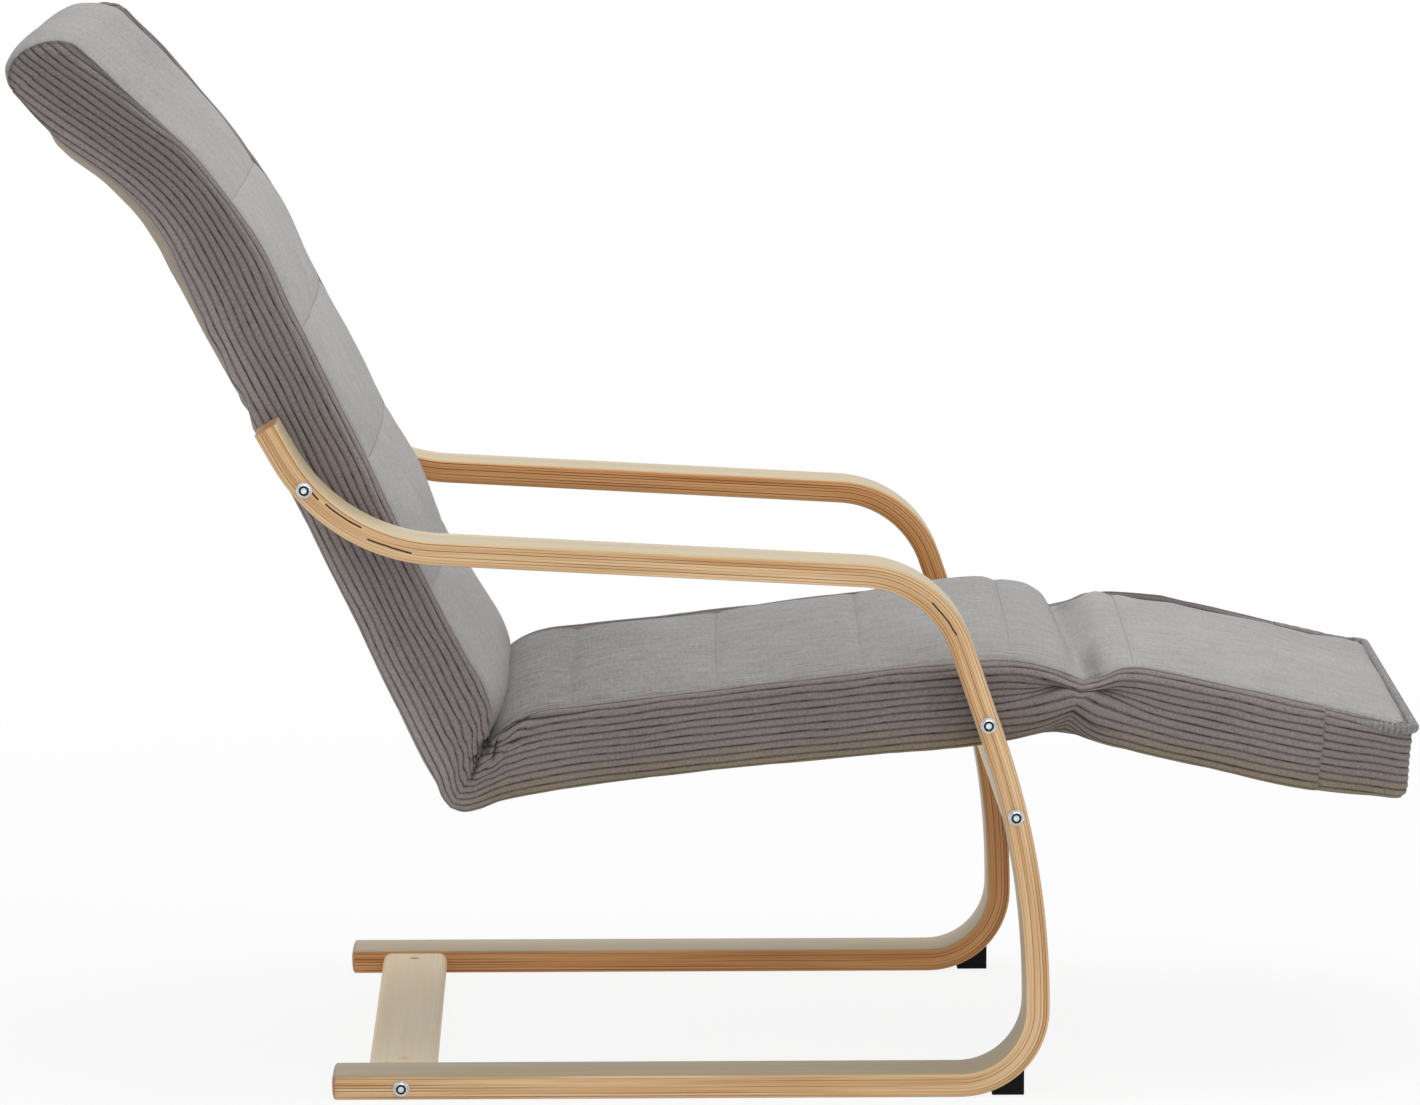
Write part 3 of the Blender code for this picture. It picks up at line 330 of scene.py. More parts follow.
def through(points):
    """A smooth line through a few points. Between neighbours it is the cubic that leaves one and reaches
    the next with the slopes that the points on either side give."""
    points = np.asarray(points, float)
    place = np.concatenate([[0], np.cumsum(np.sqrt(np.linalg.norm(np.diff(points, axis=0), axis=1)))])
    slope = np.gradient(points, place, axis=0)
    fine = np.linspace(0, place[-1], POINTS_PER_SPAN * len(points))
    k = np.clip(np.searchsorted(place, fine) - 1, 0, len(points) - 2)
    width = (place[k + 1] - place[k])[:, None]
    t = (fine - place[k])[:, None] / width
    leaving = (1 + 2 * t) * (1 - t) ** 2 * points[k] + t * (1 - t) ** 2 * width * slope[k]
    reaching = t * t * (3 - 2 * t) * points[k + 1] - t * t * (1 - t) * width * slope[k + 1]
    return even(leaving + reaching)


def smooth(x, low, high):
    """0 below low, 1 above high, and the curve 3t^2 - 2t^3 between them."""
    t = np.clip((x - low) / (high - low), 0, 1)
    return t * t * (3 - 2 * t)


def within(x, rise, fall):
    """A smooth rise from 0 to 1 over the first pair of places, and a smooth fall back over the second."""
    return smooth(x, *rise) * (1 - smooth(x, *fall))


def hump(x, width):
    """exp(-(x / width)^2): 1 at x = 0, falling away to both sides."""
    return np.exp(-(x / width) ** 2)


def ripple(along, across, kind, shift=0):
    """Smooth unevenness on a grid: a sum of sine waves of seeded height, direction and phase. kind gives
    its size, the most waves to a unit along and across, and its seed, which the shift moves on."""
    size, by_along, by_across, seed = kind
    x, y = along[:, None] * by_along, across * by_across
    rng = np.random.default_rng(seed + shift)
    height = rng.uniform(RIPPLE_LOWEST, 1, RIPPLE_WAVES)
    ahead, aside = rng.uniform(-1, 1, (2, RIPPLE_WAVES))
    phase = rng.uniform(0, 2 * pi, RIPPLE_WAVES)
    terms = [a * np.sin(2 * pi * (u * x + v * y) + p) for a, u, v, p in zip(height, ahead, aside, phase)]
    return sum(terms) / height.sum() * RIPPLE_REACH * size


# %% [markdown]
# ## Where the wood is
# The frame of the chair is one board bent into a C. These are the same measurements that the CAD source
# uses, moved with it so that the middle of the box is at X = 0.

# %% Line of the bent board, and the pivot
TO_FRAME = np.array([-0.38612, 0.0])
BOARD_THICKNESS = 0.024
BOARD_WIDTH = 0.065
BOARD_MIDDLE = 0.300
BOARD_EDGE_ROUND = 0.0025
BOARD_END_BULGE = 0.0045
TIP_RISE, TIP_LENGTH = 60.5, 0.135
ARM_SLOPE = 3.1
LEG_LEAN = 19
REAR_RADIUS, FRONT_RADIUS, KNEE_RADIUS, FLOOR_RADIUS = 0.185, 0.109, 0.83, 0.077
RAIL_REAR = -0.003
SEAT_BOLT_HEIGHT = 0.378
PIVOT_AHEAD = 0.0865
SEAT_SLOPE, FOOT_SLOPE = 6.9, 10.7

rear_corner = np.array([0.0045, 0.557]) + TO_FRAME
board_tip = rear_corner + heading(180 - TIP_RISE) * TIP_LENGTH
knee = np.array([0.7155 - BOARD_THICKNESS / 2, 0.2295]) + TO_FRAME
leg = heading(LEG_LEAN - 90)
front_corner = meet(rear_corner, heading(-ARM_SLOPE), knee, leg)
floor_corner = np.array([knee[0], BOARD_THICKNESS / 2])
rail_end = np.array([RAIL_REAR + BOARD_END_BULGE, BOARD_THICKNESS / 2]) + TO_FRAME
knee_radius = (knee[1] - floor_corner[1] - FLOOR_RADIUS) / tan(radians(LEG_LEAN) / 2)
board_line = rounded([board_tip, rear_corner, front_corner, knee, floor_corner, rail_end],
                     [REAR_RADIUS, FRONT_RADIUS, min(KNEE_RADIUS, knee_radius), FLOOR_RADIUS])
seat_bolt = knee + leg * (SEAT_BOLT_HEIGHT - knee[1]) / leg[1]
pivot = seat_bolt + heading(SEAT_SLOPE) * PIVOT_AHEAD
print("pivot", pivot.round(5), "board", round(measured(board_line)[-1], 3), "m")

# %% [markdown]
# ## Where the cushion is
# The tubes inside give the cushion its straight back and seat. The padding rounds everything else: the
# head nods forward, the corner under the seat is blunt, the cover dives into a cleft between back and
# seat, and it pinches into a V where the footrest bends.

# %% Lines of the cushion in side view
CUSHION_HALF = 0.260
FOOT_END, FOOT_BELOW, FOOT_ABOVE = 0.3295, 0.0380, 0.0368
along_foot = heading(-FOOT_SLOPE)
out_foot = left_of(along_foot)

CORNER = (-0.2692, 0.2821)
CLEFT = (-0.2347, 0.3415)
V_BOTTOM = pivot + np.array([0.0161, 0.0200])
BRIDGE = pivot + np.array([-0.0057, -0.0330])
HEAD_REAR = (-0.697, 1.0025)
HEAD_FRONT = (-0.6305, 1.0435)
foot_end_under = pivot + along_foot * FOOT_END - out_foot * FOOT_BELOW
foot_end_top = pivot + along_foot * FOOT_END + out_foot * FOOT_ABOVE

back_rear = through([CORNER, (-0.2772, 0.2924), (-0.2831, 0.3067), (-0.298, 0.3333), (-0.3267, 0.3946),
                     (-0.372, 0.490), (-0.433, 0.614), (-0.4815, 0.711), (-0.5132, 0.776), (-0.5335, 0.822),
                     (-0.5457, 0.8495), (-0.5662, 0.8799), (-0.5909, 0.905), (-0.661, 0.963), HEAD_REAR])
back_front = through([CLEFT, (-0.2302, 0.3575), (-0.2278, 0.378), (-0.233, 0.3985), (-0.2562, 0.442),
                      (-0.296, 0.5175), (-0.3675, 0.6715), (-0.4225, 0.782), (-0.4545, 0.850),
                      (-0.4835, 0.893), (-0.5265, 0.946), (-0.577, 0.9935), HEAD_FRONT])
seat_under = through([CORNER, (-0.2572, 0.278), (-0.2415, 0.2805), (-0.2199, 0.2885), (-0.1766, 0.2976),
                      (-0.0328, 0.3165), (0.1623, 0.3352), (0.259, 0.3435), (0.3244, 0.3515), BRIDGE])
seat_top = through([CLEFT, (-0.2196, 0.3574), (-0.1994, 0.3716), (-0.174, 0.380), (-0.140, 0.3843),
                    (-0.0187, 0.3985), (0.0817, 0.4103), (0.1821, 0.4215), (0.2323, 0.4265),
                    (0.2856, 0.4295), (0.3128, 0.4262), (0.346, 0.4175), V_BOTTOM])
foot_under = through([BRIDGE, (0.377, 0.3430), (0.414, 0.3362), (0.4855, 0.3212), (0.545, 0.3075),
                      (0.595, 0.2985), foot_end_under])
foot_top = through([V_BOTTOM, (0.3903, 0.4142), (0.4064, 0.4207), (0.425, 0.4215), (0.4507, 0.4172),
                    (0.5213, 0.401), (0.608, 0.3815), foot_end_top])
print("back", round(measured(back_front)[-1], 3), "seat", round(measured(seat_top)[-1], 3), "m")

# %% [markdown]
# ## One long cover between two lines
# From the head to the end of the footrest the cover is one strip. In side view it lies between a rear
# line and a front line. Pairing points of the two lines gives stations, like the ribs of a boat: at
# every station the cover starts at the rear line and ends at the front line. The cover was pulled on a
# little askew, so the left rim sits higher than the right one at the head and on the footrest.

# %% Pair the lines into stations
STATIONS_PER_METRE = 500
HEAD_STATIONS = 25


def paired(rear, front):
    """Points at equal shares of the length of two lines: share k of one faces share k of the other."""
    share = np.linspace(0, 1, int(measured(front)[-1] * STATIONS_PER_METRE))
    return at_lengths(rear, share * measured(rear)[-1]), at_lengths(front, share * measured(front)[-1])


back_pair = [line[::-1] for line in paired(back_rear, back_front)]
seat_pair = paired(seat_under, seat_top)
foot_pair = paired(foot_under, foot_top)
rear_points = np.concatenate([back_pair[0], seat_pair[0][1:], foot_pair[0][1:]])
front_points = np.concatenate([back_pair[1], seat_pair[1][1:], foot_pair[1][1:]])
run_table = measured((rear_points + front_points) / 2)
front_table = measured(front_points)
RUN_END = run_table[-1]
FRONT_END = front_table[-1]
crease_run = run_table[len(back_pair[0]) - 1]
pinch_run = run_table[len(back_pair[0]) + len(seat_pair[0]) - 2]
crease_front = np.interp(crease_run, run_table, front_table)
pinch_front = np.interp(pinch_run, run_table, front_table)

ASKEW = ((0, 0.016), (0.06, 0.013), (0.12, 0.006), (0.20, 0.0), (0.30, -0.002), (crease_run - 0.16, 0.001),
         (crease_run - 0.05, 0.004), (crease_run + 0.06, 0.0045), (crease_run + 0.3, 0.003),
         (pinch_run - 0.10, 0.006), (pinch_run - 0.04, 0.007), (pinch_run, 0.001), (pinch_run + 0.05, 0.0),
         (pinch_run + 0.12, 0.0095), (RUN_END, 0.0085))
askew_run, askew_rise = np.array(ASKEW).T


def stations(run, lean=0.0):
    """The rear point, the front point and the unit direction between them at each distance along the
    cover. lean goes from 0 at the right rim to 1 at the left rim, which is higher by the askew rise."""
    rear, front = (read_off(run, run_table, points) for points in (rear_points, front_points))
    rise = unit(front - rear)
    lift = np.interp(run, askew_run, askew_rise) * lean
    return rear, front + rise * lift[:, None], rise


def run_at(order):
    """The distance along the cover that belongs to a distance along its front line."""
    return np.interp(order, front_table, run_table)


head_way = unit(rear_points[0] + front_points[0] - rear_points[HEAD_STATIONS] - front_points[HEAD_STATIONS])
print("crease, pinch and end at", [round(float(v), 3) for v in (crease_run, pinch_run, RUN_END)])

# %% [markdown]
# ## Putting a grid into a mesh
# Every new piece is a grid of points worked out with numpy. One helper turns a grid into four-sided
# faces, stores values such as the height of a rib as attributes for the materials, and lays the grid
# out flat as a UV map.

# %% Grid to mesh
UV_SPAN = (0.01, 0.99)
CROWD_POINTS = 6000


def surface(name, points, flip=False, **values):
    """Faces between neighbours in a grid of points. Row i and column j give the corners (i, j), (i+1, j),
    (i+1, j+1) and (i, j+1), so the front of a face is on the side of the row direction crossed with the
    column direction. Several grids of one size may be stacked in one array."""
    rows, columns = int(np.prod(points.shape[:-2])), points.shape[-2]
    index = np.arange(rows * columns).reshape(points.shape[:-1])
    corners = (index[..., :-1, :-1], index[..., 1:, :-1], index[..., 1:, 1:], index[..., :-1, 1:])
    faces = np.stack(corners, -1).reshape(-1, 4)
    if flip:
        faces = faces[:, ::-1]
    mesh = bpy.data.meshes.new(name)
    mesh.vertices.add(rows * columns)
    mesh.vertices.foreach_set("co", points.astype(np.float32).ravel())
    mesh.loops.add(faces.size)
    mesh.loops.foreach_set("vertex_index", faces.astype(np.int32).ravel())
    mesh.polygons.add(len(faces))
    mesh.polygons.foreach_set("loop_start", np.arange(len(faces), dtype=np.int32) * 4)
    mesh.update(calc_edges=True)
    mesh.polygons.foreach_set("use_smooth", np.ones(len(faces), dtype=bool))
    sideways, lengthways = np.meshgrid(np.linspace(*UV_SPAN, columns), np.linspace(*UV_SPAN, rows))
    flat = np.stack([sideways, lengthways], -1).reshape(-1, 2)
    layer = mesh.uv_layers.new(name="OFBake")
    layer.data.foreach_set("uv", flat[faces.ravel()].astype(np.float32).ravel())
    for label, value in values.items():
        kind, field = ("FLOAT_VECTOR", "vector") if value.ndim == points.ndim else ("FLOAT", "value")
        attribute = mesh.attributes.new(label, kind, "POINT")
        attribute.data.foreach_set(field, value.astype(np.float32).ravel())
    made = bpy.data.objects.new(name, mesh)
    scene.collection.objects.link(made)
    print(name, rows, "by", columns, "points")
    return made


def outward(points):
    """Unit normals of a grid: the slope along the rows crossed with the slope along the columns."""
    return unit(np.cross(np.gradient(points, axis=0), np.gradient(points, axis=1)))


def crowded(length, step, spots):
    """Distances from 0 to a length, a step apart, and closer at spots given as (place, reach, step)."""
    fine = np.linspace(0, length, CROWD_POINTS)
    crowd = 1 / step + sum(hump(fine - place, reach) / close for place, reach, close in spots)
    total = np.concatenate([[0], np.cumsum((crowd[1:] + crowd[:-1]) / 2 * np.diff(fine))])
    return np.interp(np.linspace(0, total[-1], int(total[-1]) + 2), total, fine)


# %% [markdown]
# ## The side panels of the cover
# The sides are strips of wide corduroy whose ribs run the whole length of the chair. In cross-section a
# strip starts under the cushion, rolls round the lower edge, goes up the side and rolls over the top
# edge into the seam. Where the footrest bends, some ribs disappear into folds, so close to the pinch this
# section gives way to a folded one.

# %% Cross-section of the side panels
UNDER_ROLL = 0.012
TOP_ROLL = 0.015
HEAD_ROLL, HEAD_ROLL_RUN = 0.006, (0.05, 0.32)
ROLL_TURN = radians(168)
RIBS = 17
RIB_HEIGHT = 0.0017
PINCH_REACH, PINCH_SHAPE = 0.029, 1.2
PINCH_FLAT, PINCH_FLAT_PART = 0.016, (0.44, 0.60)
PINCH = ((0.0, 0.0, 0.011), (0.31, 0.39, 0.006), (0.335, 0.42, 0.017), (0.39, 0.51, 0.004),
         (0.47, 0.655, -0.001), (0.545, 0.775, 0.002), (0.57, 0.80, 0.009), (0.71, 0.808, 0.022),
         (0.83, 0.815, 0.011), (0.86, 0.845, 0.002), (1.0, 1.0, TOP_ROLL))
pinch_part, pinch_height, pinch_depth = np.array(PINCH).T


def top_roll(run, lean):
    """Radius of the roll at the top edge. On the left of the head more of the strip is pulled over."""
    return TOP_ROLL + lean * HEAD_ROLL * (1 - smooth(run, *HEAD_ROLL_RUN))


def pinched(part):
    """The strip right at the pinch: how high each part of the way up to the crest lies, as a part of the
    whole height, and how deep inside the side. From below: ribs that bridge the gap, a notch, five ribs
    in an arch, a deep fold that swallows four ribs, and the upper ribs that dip into the V."""
    return np.interp(part, pinch_part, pinch_height), np.interp(part, pinch_part, pinch_depth)


def rolled(length, thick, roll):
    """Height above the rear line and depth inside the cushion's side after a length of strip: round the
    lower roll, straight up, and round the top roll."""
    low_arc = UNDER_ROLL * ROLL_TURN
    straight = np.maximum(thick - UNDER_ROLL - roll, 0)
    low_turn = ROLL_TURN - np.clip(length, 0, low_arc) / UNDER_ROLL
    high_turn = np.clip((length - low_arc - straight) / roll, 0, ROLL_TURN)
    height = UNDER_ROLL * (1 - np.sin(low_turn)) + roll * np.sin(high_turn)
    height = height + np.clip(length - low_arc, 0, straight)
    inset = UNDER_ROLL * (1 - np.cos(low_turn)) + roll * (1 - np.cos(high_turn))
    return height, inset, low_turn, high_turn


def side_strip(run, share, lean):
    """Points (X, Z) of a side panel before its ribs, by station and share across the strip, and how far
    each lies inside the cushion's side. Near the pinch the folded strip takes over."""
    rear, front, rise = stations(run, lean)
    thick = np.linalg.norm(front - rear, axis=-1)[:, None] - RIB_HEIGHT
    roll = top_roll(run, lean)[:, None]
    straight = np.maximum(thick - UNDER_ROLL - roll, 0)
    whole = (UNDER_ROLL + roll) * ROLL_TURN + straight
    height, inset, _, _ = rolled(share * whole, thick, roll)
    to_crest = (UNDER_ROLL * ROLL_TURN + straight + roll * pi / 2) / whole
    crest = float(np.interp(pinch_run, run, to_crest[:, 0]))
    part, depth = pinched(share / crest)
    flat = PINCH_FLAT * smooth(share / crest, *PINCH_FLAT_PART)
    away = np.clip(np.abs(run - pinch_run)[:, None] - flat, 0, None)
    near = np.exp(-(away / PINCH_REACH) ** PINCH_SHAPE) * (share < crest)
    height = height + (part * thick - height) * near
    inset = inset + (depth - inset) * near
    return rear[:, None] + rise[:, None] * height[..., None], inset


print("side strips of", RIBS, "ribs, rolls of", UNDER_ROLL, "and", TOP_ROLL, "m")

# %% [markdown]
# ## The round end of the side panels
# At the head a side panel ends in half an ellipse that goes on in the cover's own direction. Its ribs stay
# parallel and run out into the curved seam, so the end is not a fan: each point takes the rib that has the
# same height in the last station.

# %% Round end at the head
NOSE_REACH = 0.028
TINY = 1e-6


def nose_strip(turns, share, lean):
    """The last station squeezed into half an ellipse. With turn a it moves out by the reach times sin a
    and shrinks by cos a. A point d inside the edge lies r - sqrt(r^2 - (r - d)^2) in from the side."""
    rear, front, rise = (v[0] for v in stations(np.array([0.0]), lean))
    half = np.linalg.norm(front - rear) / 2 - RIB_HEIGHT
    middle = (rear + front) / 2
    roll_top = top_roll(0.0, lean)
    whole = (UNDER_ROLL + roll_top) * ROLL_TURN + 2 * half - UNDER_ROLL - roll_top
    height, _, low_turn, high_turn = rolled(share * whole, 2 * half, roll_top)
    height = np.where(low_turn > pi / 2, 0, np.where(high_turn > pi / 2, 2 * half, height))
    level = (height / half - 1)[None, :]
    turn = turns[:, None]
    out, up = NOSE_REACH * np.sin(turn), half * np.cos(turn) * level
    inside = np.sqrt(np.sin(turn) ** 2 + (np.cos(turn) * level) ** 2)
    from_middle = np.maximum(np.hypot(out, up), TINY)
    edge_gap = from_middle * (1 / np.maximum(inside, TINY) - 1)
    roll = (UNDER_ROLL + roll_top) / 2 + (roll_top - UNDER_ROLL) / 2 * level * np.cos(turn)
    past = np.maximum(np.maximum(low_turn, high_turn), pi / 2)[None, :]
    short = np.maximum(roll - edge_gap, 0)
    inset = roll - np.sqrt(np.maximum(roll ** 2 - short ** 2, 0)) - roll * np.cos(past)
    pull = 1 - roll * (1 - np.sin(past)) / from_middle
    points = middle + head_way * (out * pull)[..., None] + rise * (up * pull)[..., None]
    crossing = half + up * pull
    crest = 2 * half - TINY
    on_strip = np.clip(crossing, 0, crest)
    rib = np.interp(on_strip, height, share) + (crossing - on_strip) / whole
    tail = share[None, :] - np.interp(np.minimum(half * (1 + level), crest), height, share)
    return points, inset, rib + np.where(past > pi / 2, tail, 0)


print("round end", round(NOSE_REACH * 1000), "mm beyond the last station")

# %% [markdown]
# ## The top panel
# A second long panel makes the sitting side. It starts behind the head, goes over the nose of the
# cushion, down the back, along the seat and over the footrest. Rows of stitches across it make flat
# channels, so the panel bulges softly between them. Its ribs run lengthwise and are flatter, because
# the padding stretches them.

# %% Channels and crown of the top panel
FRONT_FACE = 0.3495
FRONT_CORNER = FRONT_FACE - FOOT_END
PANEL_SHORT = 0.0040
PANEL_END = FRONT_END + FRONT_CORNER - PANEL_SHORT
PANEL_TUCK = 0.004
PANEL_HALF = CUSHION_HALF - TOP_ROLL * (1 - cos(ROLL_TURN)) + PANEL_TUCK
CHANNELS_EACH = 4
BACK_FIRST, BACK_PITCH = 0.175, 0.1465
SEAT_FIRST, SEAT_PITCH = 0.098, 0.1487
FOOT_FIRST = 0.053

back_channels = crease_front - (BACK_FIRST + BACK_PITCH * np.arange(CHANNELS_EACH))
seat_channels = crease_front + SEAT_FIRST + SEAT_PITCH * np.arange(CHANNELS_EACH)
foot_channels = pinch_front + np.array([FOOT_FIRST])
channels = np.sort(np.concatenate([back_channels, seat_channels, foot_channels]))

CROWN = ((-0.19, -0.002, 10), (-0.115, 0.001, 10), (-0.085, 0.0085, 10), (-0.045, 0.0095, 10),
         (-0.015, 0.004, 4), (0.05, 0.002, 3), (0.20, 0.004, 3), (crease_front - 0.33, 0.006, 3),
         (crease_front - 0.25, 0.0150, 4), (crease_front - 0.18, 0.009, 3), (crease_front - 0.06, 0.0120, 3),
         (crease_front, 0.0140, 3), (crease_front + 0.03, 0.0095, 3), (crease_front + 0.30, 0.0095, 2.5),
         (pinch_front - 0.14, 0.0155, 5), (pinch_front - 0.09, 0.0175, 6), (pinch_front - 0.04, 0.0150, 6),
         (pinch_front, 0.010, 5), (pinch_front + 0.035, 0.0095, 4), (pinch_front + 0.09, 0.005, 2.5),
         (FRONT_END, 0.004, 2.5))
crown_place, crown_height, crown_power = np.array(CROWN).T
print(len(channels), "channels, panel", round(2 * PANEL_HALF, 3), "m wide")

# %% Path of the top panel
PANEL_ROW = 0.0085
CHANNEL_ROWS, FOLD_ROWS = (0.008, 0.0025), (0.03, 0.004)
BEHIND_HEAD = 0.060
BEHIND_ROWS, NOSE_ROWS = 12, 26
NOSE_LENGTH = 0.103


def panel_rows():
    """Distances along the front line, closer together at every channel, the crease and the pinch."""
    spots = [(c, *CHANNEL_ROWS) for c in channels]
    folds = [(c, *FOLD_ROWS) for c in (crease_front, pinch_front)]
    return crowded(PANEL_END, PANEL_ROW, spots + folds)


def panel_path(rows, lean):
    """The panel's line in side view: up behind the head, round the nose as half an ellipse, then the
    front line. Distances before the front line are negative, so that one number orders all the rows."""
    rear, front, rise = (v[0] for v in stations(np.array([0.0]), lean))
    half, middle = np.linalg.norm(front - rear) / 2, (rear + front) / 2
    behind = stations(np.linspace(BEHIND_HEAD, 0, BEHIND_ROWS)[:-1], lean)[0]
    turn = np.linspace(-pi / 2, pi / 2, NOSE_ROWS)[:-1, None]
    nose = middle + head_way * np.cos(turn) * NOSE_REACH + rise * np.sin(turn) * half
    face = stations(run_at(rows), lean)[1] + along_foot * np.maximum(rows - FRONT_END, 0)[:, None]
    lead = len(behind) + len(nose)
    path = np.concatenate([behind, nose, face])
    order = measured(path)
    return path, np.concatenate([order[:lead] - order[lead], rows])


def spread_across(order, part):
    """Y of the panel's points, for parts from -1 to 1 across. Its edges lie just inside the seam, which
    follows the top roll. Round the nose the radius grows from the lower roll's to the top roll's."""
    edges = []
    for lean in (0, 1):
        on_nose = np.interp(order, [-NOSE_LENGTH, 0], [UNDER_ROLL, top_roll(0.0, lean)])
        roll = np.where(order < 0, on_nose, top_roll(run_at(order), lean))
        edge = CUSHION_HALF - roll * (1 - cos(ROLL_TURN)) + PANEL_TUCK
        edges.append((2 * lean - 1) * edge[:, None])
    right, left = edges
    return right + (left - right) * (part + 1) / 2


def panel_base(path_right, path_left, part):
    """Rows of points between the right and the left line of the panel, straight across."""
    share = ((part + 1) / 2)[None, :, None]
    return path_right[:, None] * (1 - share) + path_left[:, None] * share


def upright(flat, across):
    """Side-view points (X, Z) and a Y for each column, put together as (X, Y, Z)."""
    return np.stack([flat[..., 0], np.broadcast_to(across, flat.shape[:2]), flat[..., 1]], -1)


print("panel of", len(panel_rows()), "rows from the head to the front")

# %% Height of the top panel
PUFF, PUFF_REACH, PUFF_POWER = 0.0012, 0.030, 8
CHANNEL_DEPTH, CHANNEL_WIDTH = 0.0032, 0.006
BACK_CHANNELS = 0.55
CREASE_CALM, PINCH_CALM = 0.022, 0.028
SEAM_DIP, SEAM_REACH, FRONT_REACH = 0.004, 0.006, 0.005
HEAD_DROP, SEAT_DROP, FOOT_DROP, DROP_REACH = 1.6, 0.003, 0.0130, 0.026
DROP_RISE, DROP_FALL = (0.05, 0.1), 0.07
PUCKER, PUCKER_LENGTH, PUCKER_REACH = 0.0010, 0.015, 0.022
PUCKER_PLACE = ((-0.15, -0.10), (0.0, 0.06))


def left_drop(order):
    """How much lower the panel lies along its left edge: at the head, where the top roll is larger, a
    little on the seat, and most on the footrest."""
    at_head = top_roll(run_at(order), 1) - TOP_ROLL
    on_seat = smooth(order - crease_front, *DROP_RISE) * (order < pinch_front)
    on_foot = smooth(order - pinch_front, *DROP_RISE) * smooth(FRONT_END - order, 0, DROP_FALL)
    return HEAD_DROP * at_head + SEAT_DROP * on_seat + FOOT_DROP * on_foot


def panel_height(order, part):
    """How far the panel stands off its line: a crown highest in the middle, a soft bulge between
    channels, a narrow dip at each channel, small puckers at the nose and a dip into the edge seams."""
    crown = np.interp(order, crown_place, crown_height)[:, None]
    power = np.interp(order, crown_place, crown_power)[:, None]
    drop = left_drop(order)[:, None] * (part > 0)
    order, width = order[:, None], np.abs(part)
    gap = np.min(np.abs(order[..., None] - channels), axis=-1)
    puff = PUFF * (1 - hump(gap, PUFF_REACH)) - CHANNEL_DEPTH * np.exp(-gap / CHANNEL_WIDTH)
    puff = puff * np.where(order < crease_front, BACK_CHANNELS, 1.0)
    calm = smooth(np.abs(order - crease_front), 0, CREASE_CALM)
    calm = calm * smooth(np.abs(order - pinch_front), 0, PINCH_CALM)
    inside = (1 - width) * PANEL_HALF
    edge = SEAM_DIP * np.exp(-inside / SEAM_REACH) + drop * np.exp(-inside / DROP_REACH)
    front_edge = np.exp(-(PANEL_END - order) / FRONT_REACH)
    swell = calm * (crown * (1 - width ** power) + puff * (1 - width ** PUFF_POWER))
    puckers = np.sin(2 * pi * order / PUCKER_LENGTH) * within(order, *PUCKER_PLACE)
    swell = swell + PUCKER * puckers * np.exp(-inside / PUCKER_REACH)
    return swell * (1 - front_edge) - np.maximum(edge, SEAM_DIP * front_edge)


print("crown up to", round(float(crown_height.max()) * 1000, 1), "mm")

# %% [markdown]
# ## Letting the padding push
# A padded cover is tight where it is sewn and swells where it isn't. A coarse copy of the cover is sewn
# fast along its seams, channels and folds, given a little slack, and blown up by pressure for twenty
# frames. Only the movement is kept: it is scaled down, and then laid over the fine panels by its place
# on the coarse grid.

# %% Blow up a coarse copy of the cover
SIM_STATIONS = 150
SIM_SIDE, SIM_TOP = 15, 41
SIM_FINER = 12
SIM_FRAMES = 20
SIM_PRESSURE = 4.0
SIM_SLACK = -0.02
SIM_QUALITY, SIM_MASS = 5, 0.3
PIN_REACH = 0.6
SIDE_LIMIT, TOP_LIMIT = 0.0012, 0.0045


def coarse_cover(run):
    """Both side panels and the top panel on a coarse grid, one row per station, in one loop from the
    right lower edge over the top to the left lower edge."""
    share = np.linspace(0, 1, SIM_FINER * (SIM_SIDE - 1) + 1)
    sides = []
    for lean in (0, 1):
        flat, inset = (v[:, ::SIM_FINER] for v in side_strip(run, share, lean))
        sides.append(upright(flat, (CUSHION_HALF - inset) * (2 * lean - 1)))
    order = np.interp(run, run_table, front_table)
    part = np.linspace(-1, 1, SIM_TOP)
    lines = [stations(run, lean)[1] for lean in (0, 1)]
    normal = left_of(unit(np.gradient(lines[0], axis=0)))[:, None]
    flat = panel_base(*lines, part) + normal * panel_height(order, part)[..., None]
    top = upright(flat, spread_across(order, part))
    return np.concatenate([sides[0][:, :-1], top, sides[1][:, -2::-1]], axis=1), order


